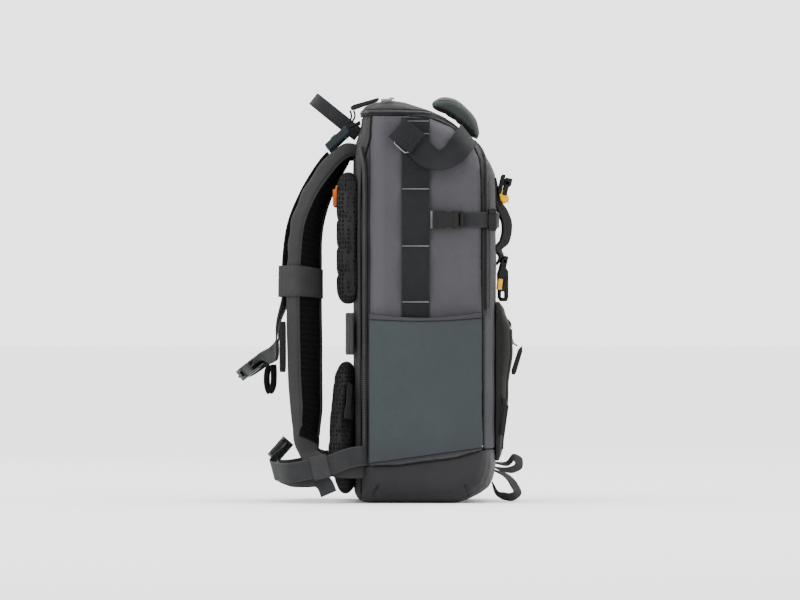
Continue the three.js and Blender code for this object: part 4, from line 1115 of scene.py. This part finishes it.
# The left strap's middle line, width, thickness and turn, down from the top: out, side, high, wide, thick, degrees
SHOULDER = [
    (-0.025, 0.4, 0.869, 0.75, 0.8, 4), (0.05, 0.41, 0.869, 0.85, 0.9, 6), (0.136, 0.42, 0.847, 0.9, 1, 10),
    (0.232, 0.44, 0.803, 0.95, 1, 15), (0.327, 0.49, 0.748, 1, 1, 20), (0.396, 0.54, 0.68, 1, 1, 25),
    (0.415, 0.58, 0.596, 1, 1, 28), (0.419, 0.6, 0.502, 1, 1, 29), (0.415, 0.62, 0.403, 1, 1, 29),
    (0.41, 0.64, 0.305, 0.95, 1, 29), (0.4, 0.67, 0.231, 0.85, 0.95, 30), (0.4, 0.71, 0.176, 0.66, 0.75, 33),
    (0.378, 0.84, 0.127, 0.42, 0.35, 50), (0.285, 0.965, 0.102, 0.36, 0.12, 80),
    (0.12, 0.983, 0.086, 0.36, 0.11, 90), (-0.1, 0.93, 0.084, 0.36, 0.11, 90),
]
RAIL_SHIFT = -0.27
RAIL = [(0.846, 0.4), (0.83, 1), (0.815, 1.2), (0.79, 1), (0.748, 0.9), (0.68, 3), (0.596, 5.5), (0.56, 4.5)]


def strap_rows():
    """Rows of (place, across, wide, thick) of the left shoulder strap."""
    at = route([on_harness(*row[:3]) for row in SHOULDER])
    rows = []
    for i, row in enumerate(SHOULDER):
        tangent = heading(at, i / (len(SHOULDER) - 1))
        across = square_to(tangent, Vector((0, 1, 0)))
        across.rotate(Matrix.Rotation(math.radians(row[5]), 3, tangent))
        rows.append((on_harness(*row[:3]), across, row[3] * STRAP_WIDE, row[4] * STRAP_THICK))
    return rows


STRAP = strap_rows()
STRAP_ROUTE = route([row[0] for row in STRAP])


def strap_station(share):
    """The strap's middle, the direction of its width, its outward side, its width and its thickness."""
    run = share * (len(STRAP) - 1)
    i = min(int(run), len(STRAP) - 2)
    mix = run - i
    tangent = heading(STRAP_ROUTE, share)
    across = square_to(tangent, STRAP[i][1].lerp(STRAP[i + 1][1], mix))
    wide, thick = (STRAP[i][n] * (1 - mix) + STRAP[i + 1][n] * mix for n in (2, 3))
    return STRAP_ROUTE(share), across, across.cross(tangent), wide, thick


def on_strap(high, stand=0.0, shift=0.0):
    """A place off the strap's outer face, and the direction of its width there."""
    i = next(k for k in range(1, len(SHOULDER)) if SHOULDER[k][2] <= high)
    above, below = SHOULDER[i - 1][2], SHOULDER[i][2]
    share = (i - 1 + (above - high) / (above - below)) / (len(SHOULDER) - 1)
    place, across, outward, _, thick = strap_station(share)
    return place + outward * (thick / 2 + SEAT_GAP + stand) + across * (shift * STRAP_WIDE), across


PAD_SIDES = 44
# Where the mesh of a strap's inner face ends: a share of its width, and of its length
MESH_EDGE, MESH_END = 0.43, 0.765


def strap_face(corner, share):
    """Which cloth a face of the strap wears: mesh on the inner face, grey nylon round the rest."""
    if share > MESH_END:
        return 0
    turn = 360 * (corner + 0.5) / PAD_SIDES
    across = abs(math.cos(math.radians(turn))) ** 0.5 / 2
    return 1 if 0 < turn < 180 and across < MESH_EDGE else 0


def shoulder_straps():
    stations = frames(STRAP, 150)
    strap = swept("shoulder_pad", stations, pad_ring(PAD_SIDES, 0.5), ["strap_fabric", "strap_mesh"], strap_face)
    swell(strap, lambda p, n: 0.7 * ripple(p, 24, 24, 34)
          + (0.8 * math.sin(p.z / 5.5) * max(0, n.x) if p.z > 300 else 0))
    dress_pair(strap, "strap_fabric", "shoulder_strap", 0.6)
    padded = stations[4:112]
    for name, share in (("strap_piping_outer", -MESH_EDGE), ("strap_piping_inner", MESH_EDGE)):
        line = [(at + across * (wide * share) + up * (thick * 0.42), up) for at, across, up, wide, thick, _ in padded]
        cord_pair(name, line, 1.4, "strap_fabric")
    line = [(at - across * (wide * 0.36) - up * (thick * 0.47 + 0.4), -up)
            for at, across, up, wide, thick, _ in padded]
    repeated("strap_stitches", [line], STITCHES, STRAP_STITCH, "dark_stitch")


def strap_rail():
    rows = [on_strap(high, stand + WEB_THICK / 2, RAIL_SHIFT) for high, stand in RAIL]
    lay_webbing("strap_runner", rows, WEB_NARROW * 0.75, "black_webbing", "strap_rail", 90, pair=True)


def strap_keeper():
    """The elastic sleeve round each strap, slack on the outside."""
    middle = high_at(KEEPER_HIGH)
    shares = [k / 400 for k in range(400) if abs(STRAP_ROUTE(k / 400).z - middle) <= KEEPER_LONG / 2]
    points, faces, flat_map = [], [], []
    count, levels = 48, 12
    for extra in (KEEPER_CLEAR, KEEPER_CLEAR + KEEPER_CLOTH):
        for level in range(levels + 1):
            share = shares[0] + (shares[-1] - shares[0]) * level / levels
            at, across, outward, wide, thick = strap_station(share)
            at += outward * (KEEPER_SLACK / 2)
            for a, b, _ in pad_ring(count, 0.42)(wide + extra, thick + extra + KEEPER_SLACK):
                points.append(at + across * a - outward * b)
    size = (levels + 1) * count
    for wall in (0, 1):
        for level in range(levels):
            for k in range(count):
                a = wall * size + level * count + k
                b = wall * size + level * count + (k + 1) % count
                face = (a, b, b + count, a + count) if wall else (a, a + count, b + count, b)
                faces.append(face)
                flat_map += [(((p % size) % count) * 3.4 * MM, ((p % size) // count) * 3.3 * MM) for p in face]
    for level in (0, levels):
        for k in range(count):
            a, b = level * count + k, level * count + (k + 1) % count
            face = (a, b, b + size, a + size) if level else (b, a, a + size, b + size)
            faces.append(face)
            flat_map += [(0, 0)] * 4
    sleeve = build("strap_sleeve", points, faces, ["elastic"], flat_map)
    work = bmesh.new()
    work.from_mesh(sleeve.data)
    bmesh.ops.recalc_face_normals(work, faces=work.faces)
    work.to_mesh(sleeve.data)
    work.free()
    dress_pair(sleeve, "elastic", "strap_keeper")


LIFTER_SIDE = 0.47


def load_lifter():
    rows = [(on_harness(out, LIFTER_SIDE, high), Vector((0, 1, 0)))
            for out, high in ((-0.06, 0.9455), (-0.03, 0.9395), (0.026, 0.9286))]
    lay_webbing("lifter_webbing", rows, WEB_NARROW, "black_webbing", "load_lifter", 20, 2.6, pair=True)


# The chest webbing
STERNUM = [(0.635, 0.7, 0.445, (0.1, 1, 0)), (0.645, 0.7, 0.4, (0, 1, 0.1)), (0.67, 0.64, 0.372, (-0.4, 0.6, 0.6)),
           (0.74, 0.42, 0.358, (-0.6, 0, 0.8))]
STERNUM_TAIL = [(0.7, 0.34), (0.722, 0.325), (0.724, 0.29), (0.702, 0.272), (0.676, 0.285), (0.668, 0.325),
                (0.672, 0.342)]


def chest_webbing():
    for side, name in ((-1, "left"), (1, "right")):
        rows = [on_strap(high, KEEPER_SLACK / 2, RAIL_SHIFT) for high in (0.55, 0.515)]
        rows += [(on_harness(*row[:3]), Vector(row[3])) for row in STERNUM]
        turned = [(Vector((p.x, -side * p.y, p.z)), Vector((a.x, -side * a.y, a.z)) * -side) for p, a in rows]
        end, across = STERNUM_BUCKLE.end(side), STERNUM_BUCKLE.across.copy()
        if across.dot(turned[-1][1]) < 0:
            across.negate()
        turned += [(end + STERNUM_BUCKLE.along * (side * 9), across), (end, across)]
        lay_webbing("chest_webbing_" + name, turned, WEB_NARROW, "webbing", "sternum_strap_" + name, 110)
    rows = [(on_harness(out, 0.5, high), Vector((0.45, 0.89, 0))) for out, high in STERNUM_TAIL]
    lay_webbing("chest_tail", rows, WEB_NARROW * 0.8, "black_webbing", "sternum_tail", 80, 1.6)
    elastic = merged_copy("sternum_elastic", "chest_elastic")
    modify(elastic, "BEVEL", width=0.0016, segments=3, limit_method="ANGLE")
    modify(elastic, "SUBSURF", levels=1, render_levels=1)
    applied(elastic)
    shade_smooth(elastic, "piping")
    dress(elastic, "black_plastic", ("sternum_elastic",))


# Handles


def grab_handle():
    half = [(-0.02, 1), (0.2, 1), (0.65, 0.92), (0.92, 0.62)]
    rows = half + [(1, 0)] + [(reach, -side) for reach, side in reversed(half)]
    root, way = Vector((deep_at(0.03), 0, high_at(0.916))), Vector((-0.78, 0, 0.63))
    spots = []
    for reach, side in rows:
        place = root + way * (reach * (GRAB_REACH + 12))
        place.y = -side * GRAB_HALF
        spots.append((place, Vector((0.63, 0, 0.78))))
    lay_webbing("grab_loop", spots, WEB_NARROW * 0.9, "webbing", "grab_handle", 120)


# How far out the seam that closes each end of the handle's pad is
HANDLE_SEAM = 66


def top_handle():
    plump_pad("top_handle", "top_handle_pad", "grip_fabric", 3,
              lambda p, n: 0.8 * ripple(p, 16, 20, 16) - 1.6 * math.exp(-((abs(p.y) - HANDLE_SEAM) / 2.0) ** 2),
              0.6, 8, 3.0, 2.5)
    around = trail("top", [(x, -HANDLE_SEAM) for x in (18, 40, 66)], 20, 0.6, surface_of("top_handle"))
    cord_pair("handle_seam", settled(around), 0.7)


HANDLE_STRAP = [
    (0.8, 0.9162, 0.4, (0.62, 0, -0.78)), (0.8, 0.9125, 0.66, (0.62, 0, -0.78)),
    (0.785, 0.903, 0.88, (0.66, 0, -0.74)),
    (0.75, 0.886, 1.025, (0.75, 0, -0.66)), (0.695, 0.861, 1.07, (0.6, -0.35, -0.7)),
    (0.61, 0.846, 1.09, (0.05, -0.6, -0.8)), (0.52, 0.856, 1.085, (-0.45, -0.3, -0.8)),
    (0.44, 0.884, 1.062, (-0.66, 0, -0.75)), (0.365, 0.908, 1.047, (-0.66, 0, -0.75)),
    (0.305, 0.926, 1.078, (-0.66, 0, -0.75)), (0.365, 0.91, 1.11, (-0.66, 0, -0.75)),
    (0.45, 0.886, 1.112, (-0.66, 0, -0.75)),
]


def handle_webbing():
    rows = [(Vector((deep_at(deep), -side * HALF, high_at(high))), Vector(across))
            for deep, high, side, across in HANDLE_STRAP]
    lay_webbing("handle_webbing", rows, WEB_WIDE * 0.86, "wide_webbing", "top_handle_strap", 160, pair=True)
    fold = Vector((deep_at(0.405), -HALF * 1.118 - 1.2, high_at(0.899)))
    along, width = Vector((0.6, 0, -0.52)).normalized(), Vector((-0.66, 0, -0.75)).normalized()
    out = Vector((0, -1, 0))
    # A sewn box with one diagonal
    sides = (((-1, -1), (1, -1)), ((-1, 1), (1, 1)), ((-1, -1), (-1, 1)), ((1, -1), (1, 1)), ((-1, -1), (1, 1)))
    box = [[(fold + along * (a * 7) + width * (b * 11), out) for a, b in line] for line in sides]
    repeated("handle_stitches", box, STITCHES, BOX_STITCH, "stitch")


# Straps and fittings of the sides and front

COMPRESSION_HIGH = 0.7
COMPRESSION = [(0.52, 1.4), (0.62, 1.5), (0.85, 1.8), (0.93, -2.5), (0.985, -16), (1.008, -34), (1.012, -58)]


def compression_strap():
    rows = [(Vector((deep_at(deep), -HALF - stand - 0.2, high_at(COMPRESSION_HIGH))), Vector((0, 0, 1)))
            for deep, stand in COMPRESSION]
    lay_webbing("compression_webbing", rows, WEB_NARROW, "webbing", "compression_strap", 100, pair=True)


HOOK_SPREAD = 55
HOOK = [(0.806, -1.2), (0.77, 0.6), (0.742, 2.6), (0.72, 9), (0.69, 14), (0.65, 11), (0.63, 3), (0.61, 6.5),
        (0.59, 0.3)]
UPPER_LOOP = [(-4, 0.095), (15, 0.092), (24, 0.107), (30, 0.1), (30, 0.086), (22, 0.077), (10, 0.077), (-4, 0.084)]
LOWER_LOOP = [(-5, 0.08), (12, 0.066), (22, 0.045), (27, 0.023), (20, 0.0128), (8, 0.0158), (1, 0.022), (-6, 0.05)]


def on_front(rows, side, turn=0.0):
    """Places on the front's webbing, its width turned about the way it runs by `turn` degrees in the middle."""
    at = route([(FRONT + stand, side, high_at(high)) for high, stand in rows])
    spots = []
    for i in range(len(rows)):
        share = i / (len(rows) - 1)
        across = Vector((0, 1, 0))
        across.rotate(Matrix.Rotation(math.radians(turn * math.sin(math.pi * share)), 3, heading(at, share)))
        spots.append((at(share), across))
    return spots


def front_webbing():
    lay_webbing("hook_webbing", on_front(HOOK, -HOOK_SPREAD, 38), WEB_NARROW, "black_webbing", "front_hook",
                110, 2.4, pair=True)
    for name, rows, side in (("upper", UPPER_LOOP, 45), ("lower", LOWER_LOOP, -62)):
        turned = [(high, stand) for stand, high in rows]
        lay_webbing("gear_loop_" + name, on_front(turned, side, 34), WEB_NARROW, "webbing", "webbing_loop_" + name, 90)


# How far the front pocket stands off at each height, as a share of its depth
POCKET_FULL = [(54, 0.3), (70, 0.42), (150, 0.72), (200, 1), (225, 1), (250, 0.62), (263, 0.4)]


# The front pocket's two zips: name, line in the front view, and half the way between their rows of teeth
POCKET_ZIPS = [("pocket_zip", [(-92, 70), (-92, 150), (-92, 226)], (0, 0.8, 0)),
               ("pocket_top", [(-86, 232), (0, 236), (86, 232)], (0, 0, 0.8))]

POCKET_TAPE = 9


def front_pocket():
    def form(place, normal):
        wave = 1.1 * ripple(place, 20, 38, 42)
        return wave if place.x > FRONT else wave * 0.3
    cloth = soft_panel("front_pocket", "front_pocket_cloth", "pocket_fabric", 2.2, form)
    for vertex in cloth.data.vertices:
        stand = vertex.co.x / MM - FRONT
        if stand > 0:
            vertex.co.x -= stand * (1 - between(POCKET_FULL, vertex.co.z / MM, 1)) * MM
    face = tree_of(cloth.data)
    for name, line, apart in POCKET_ZIPS:
        found = settled(trail("front", line, 80, 0.4, face), 6)
        dress(tape_on(name + "_tape", found, POCKET_TAPE, 0.8, "tape_fabric"), "tape_fabric")
        rows = [[(place + normal + Vector(apart) * side, normal) for place, normal in found] for side in (-1, 1)]
        repeated(name + "_teeth", rows, TEETH, POCKET_TOOTH, "zip_teeth", both=False)


def moulding(node, name, finish, bevel, facing=None, fuller=1.0):
    """A hard solid with its edges rounded, and made fuller the way it faces."""
    obj = merged_copy(node, name)
    if facing:
        middle = sum((v.co for v in obj.data.vertices), Vector()) / len(obj.data.vertices)
        facing = facing.normalized()
        for vertex in obj.data.vertices:
            vertex.co += facing * ((vertex.co - middle).dot(facing) * (fuller - 1))
    modify(obj, "BEVEL", width=bevel * MM, segments=3, limit_method="ANGLE", angle_limit=math.radians(35))
    applied(obj)
    shade_smooth(obj, finish)
    modify(obj, "WEIGHTED_NORMAL")
    applied(obj)
    dress(obj, finish, (node,))


MOULDINGS = [
    ("hip_buckle_socket", "waist_buckle_socket", "buckle_plastic", 2.2, HIP_BUCKLE.facing, 1.5),
    ("hip_buckle_plug", "waist_buckle_plug", "buckle_plastic", 1.2, HIP_BUCKLE.facing, 1.5),
    ("sternum_buckle_socket", "chest_buckle_socket", "buckle_plastic", 1.8, STERNUM_BUCKLE.facing, 1.6),
    ("sternum_buckle_plug", "chest_buckle_plug", "buckle_plastic", 1.1, STERNUM_BUCKLE.facing, 1.6),
    ("lid_pull", "lid_zip_pull", "black_plastic", 0.8),
    ("pocket_pull", "pocket_zip_pull", "black_plastic", 0.8),
]
PAIRED_MOULDINGS = [
    ("lifter_adjuster", "lifter_ladder", "adjuster_plastic", 1.2),
    ("compression_buckle", "side_buckle", "black_plastic", 0.9),
    ("hook_tab", "hook_catch", "yellow_plastic", 2.4),
    ("lower_clip", "lower_catch", "black_plastic", 1.2),
    ("d_ring", "handle_ring", "steel", 0.2),
    ("hip_keeper", "waist_keeper", "elastic", 0.5),
]


def mouldings():
    for row in MOULDINGS:
        moulding(*row)
    for node, name, finish, bevel in PAIRED_MOULDINGS:
        for side in ("_left", "_right"):
            moulding(node + side, name + side, finish, bevel)


def block(name, finish, parts, bevel):
    """Moulded parts, each a box: (middle, half sizes, along, up), joined and with rounded edges."""
    points, faces = [], []
    for middle, half, along, up in parts:
        along = Vector(along).normalized()
        side = Vector(up).cross(along).normalized()
        up = along.cross(side)
        first = len(points)
        for c in (-1, 1):
            for a, b in ((-1, -1), (1, -1), (1, 1), (-1, 1)):
                points.append(Vector(middle) + along * (a * half[0]) + side * (b * half[1]) + up * (c * half[2]))
        faces += [tuple(first + k for k in face) for face in
                  ((0, 3, 2, 1), (4, 5, 6, 7), (0, 1, 5, 4), (1, 2, 6, 5), (2, 3, 7, 6), (3, 0, 4, 7))]
    obj = build(name, points, faces, [finish])
    modify(obj, "BEVEL", width=bevel * MM, segments=3, limit_method="ANGLE")
    applied(obj)
    modify(obj, "WEIGHTED_NORMAL")
    return applied(obj)


def fitting(name, finish, bevel, *parts, pair=True, slot=None):
    """A small hard piece, on both sides of the bag or alone."""
    (dress_pair if pair else dress)(block(name, finish, parts, bevel), slot or finish)


def compression_fittings():
    """The bar of each side buckle, its pale colour a painted highlight, the buckle's ribs, and the slider at the
    front.
    """
    x, y, z = deep_at(0.66), -HALF, high_at(COMPRESSION_HIGH)
    slab = (1, 0, 0), (0, -1, 0)
    # The buckle's real bar, given a pale colour as a painted highlight along it
    fitting("buckle_bar_highlight", "pale_stitch", 0.8, ((x - 21.5, y - 4.4, z), (1.6, 11.4, 3), *slab), slot="steel")
    fitting("buckle_ribs", "black_plastic", 0.3, ((x - 15, y - 12.3, z), (0.7, 9.5, 0.5), *slab),
            ((x + 6, y - 12.0, z), (0.7, 10.8, 0.5), *slab), ((x + 18.5, y - 12.0, z), (0.8, 9.8, 0.5), *slab))
    x, turned = deep_at(0.965), ((1, 0.35, 0), (0.3, -1, 0))
    fitting("strap_slider", "black_plastic", 0.7, ((x, y + 2.5, z), (5.6, 14.6, 1.6), *turned),
            *(((x, y + 0.4, z + up), (5.0, 1.6, 2.2), *turned) for up in (9.5, -9.5)))


def harness_fittings():
    """The ladder locks of the load lifters, their orange labels and the orange pulls on the back pads."""
    place = on_harness(0.122, 0.47, 0.9007)
    along, facing = Vector((0.74, 0, 0.67)), Vector((-0.67, 0, 0.74))
    bars = ((5.2, 9, (3.4, 15.4, 1.8)), (5.8, -3, (4.8, 15.4, 2.6)), (3.6, -15, (4.0, 14.6, 2.0)))
    fitting("ladder_bars", "black_plastic", 1.4,
            *((place + facing * out + along * run, half, along, facing) for out, run, half in bars))
    fitting("ladder_cheeks", "adjuster_plastic", 1.3,
            *((place + Vector((0, side * 15.6, 0)) + facing * 2.2, (18.5, 1.7, 5.0), along, facing)
              for side in (-1, 1)))
    fitting("strap_label", "orange_plastic", 0.5,
            (on_harness(0.1, 0.47, 0.8795), (5.2, 5.0, 1.0), (0.8, 0, 0.6), (-0.6, 0, 0.8)))
    fitting("pad_pull", "orange_plastic", 1.1, ((-117.4, -100, 398), (11, 2.6, 2.9), (0, 0, 1), (1, 0, 0)),
            ((-115.4, -100, 411), (3.4, 1.6, 1.4), (0.3, 0, 1), (1, 0, 0)))


def zip_pulls():
    """The lid's slider and the two cords under its pull, and the pocket's two sliders."""
    fitting("lid_slider", "steel", 0.9, ((-50, -110, 525.5), (7.5, 3.4, 1.8), (1, 0, 0.05), (0, 0, 1)),
            ((-43, -110, 527.6), (3.2, 2.4, 1.2), (1, 0, -0.2), (0, 0, 1)), pair=False)
    top, drop, bow = 512, 16, 3.0
    for k, (x0, x1) in enumerate(((-98, -100), (-93, -96))):
        line = [Vector((x0 + (x1 - x0) * t / 6 + bow * math.sin(math.pi * t / 6), -98, top - drop * t / 6))
                for t in range(7)]
        dress(tube("lid_cord_" + str(k + 1), line, 1.3, "piping", 24), "piping")
    fitting("pocket_slider", "steel", 0.8, ((FRONT + 19.4, -70, 213), (5.6, 3.2, 2.0), (0.4, 0, -1), (1, 0, 0.4)),
            ((FRONT + 23, -68, 207), (5.2, 1.6, 1.2), (0.9, 0, -0.5), (0.5, 0, 0.9)), pair=False)
    fitting("pocket_pull_side", "black_plastic", 1.0,
            ((FRONT + 9.4, -108.2, 108), (20, 3.4, 1.5), (-0.14, 0, -1), (0, -1, 0)),
            ((FRONT + 9.8, -107.8, 132), (4.4, 2.8, 1.9), (0, 0, -1), (0, -1, 0)), pair=False)


# The gear hooks: name, how far out and how high, and parts of (out, up, half length, half thickness)
GEAR_HOOKS = [("hook_body", 6.5, 0.79, ((0, 0, 13, 2.6), (6, -5, 10, 3.2), (9, 3, 5, 4.6))),
              ("catch_body", 8.5, 0.585, ((0, 0, 10, 4.2), (3, 9, 5, 3.2)))]


def gear_hooks():
    for name, out, high, parts in GEAR_HOOKS:
        middle = Vector((FRONT + out, -HOOK_SPREAD, high_at(high)))
        fitting(name, "black_plastic", 1.2,
                *((middle + Vector((a, 0, c)), (long, 9.0, half), (0.25, 0, 1), (1, 0, -0.25))
                  for a, c, long, half in parts))
    fitting("catch_mark", "yellow_plastic", 1.0,
            ((FRONT + 4.5, -HOOK_SPREAD - 11.3, high_at(0.541)), (7.2, 2.9, 1.1), (0.1, 0, 1), (0, -1, 0)))


# Floor


def floor():
    """A pale floor, wide enough to fill the view from any height."""
    f = Finish("paper")
    tone = f.ease(f.cloud(0.8, 1.0), 0.3, 0.7)
    f.done(f.blend(tone, (0.88, 0.88, 0.88), (0.89, 0.89, 0.89)), 0.95, specular=0.1)
    count, reach = 48, 40000
    turns = [2 * math.pi * k / count for k in range(count)]
    rim = [(reach * math.cos(turn), reach * math.sin(turn), 0) for turn in turns]
    build("floor", rim, [tuple(range(count))], ["paper"])


panels()
side_seams()
zips()
daisy_chain()
side_pockets()
padding()
trolley_strap()
hip_details()
hip_webbing()
shoulder_straps()
strap_rail()
strap_keeper()
load_lifter()
chest_webbing()
grab_handle()
top_handle()
handle_webbing()
compression_strap()
front_webbing()
front_pocket()
mouldings()
compression_fittings()
harness_fittings()
zip_pulls()
gear_hooks()
floor()
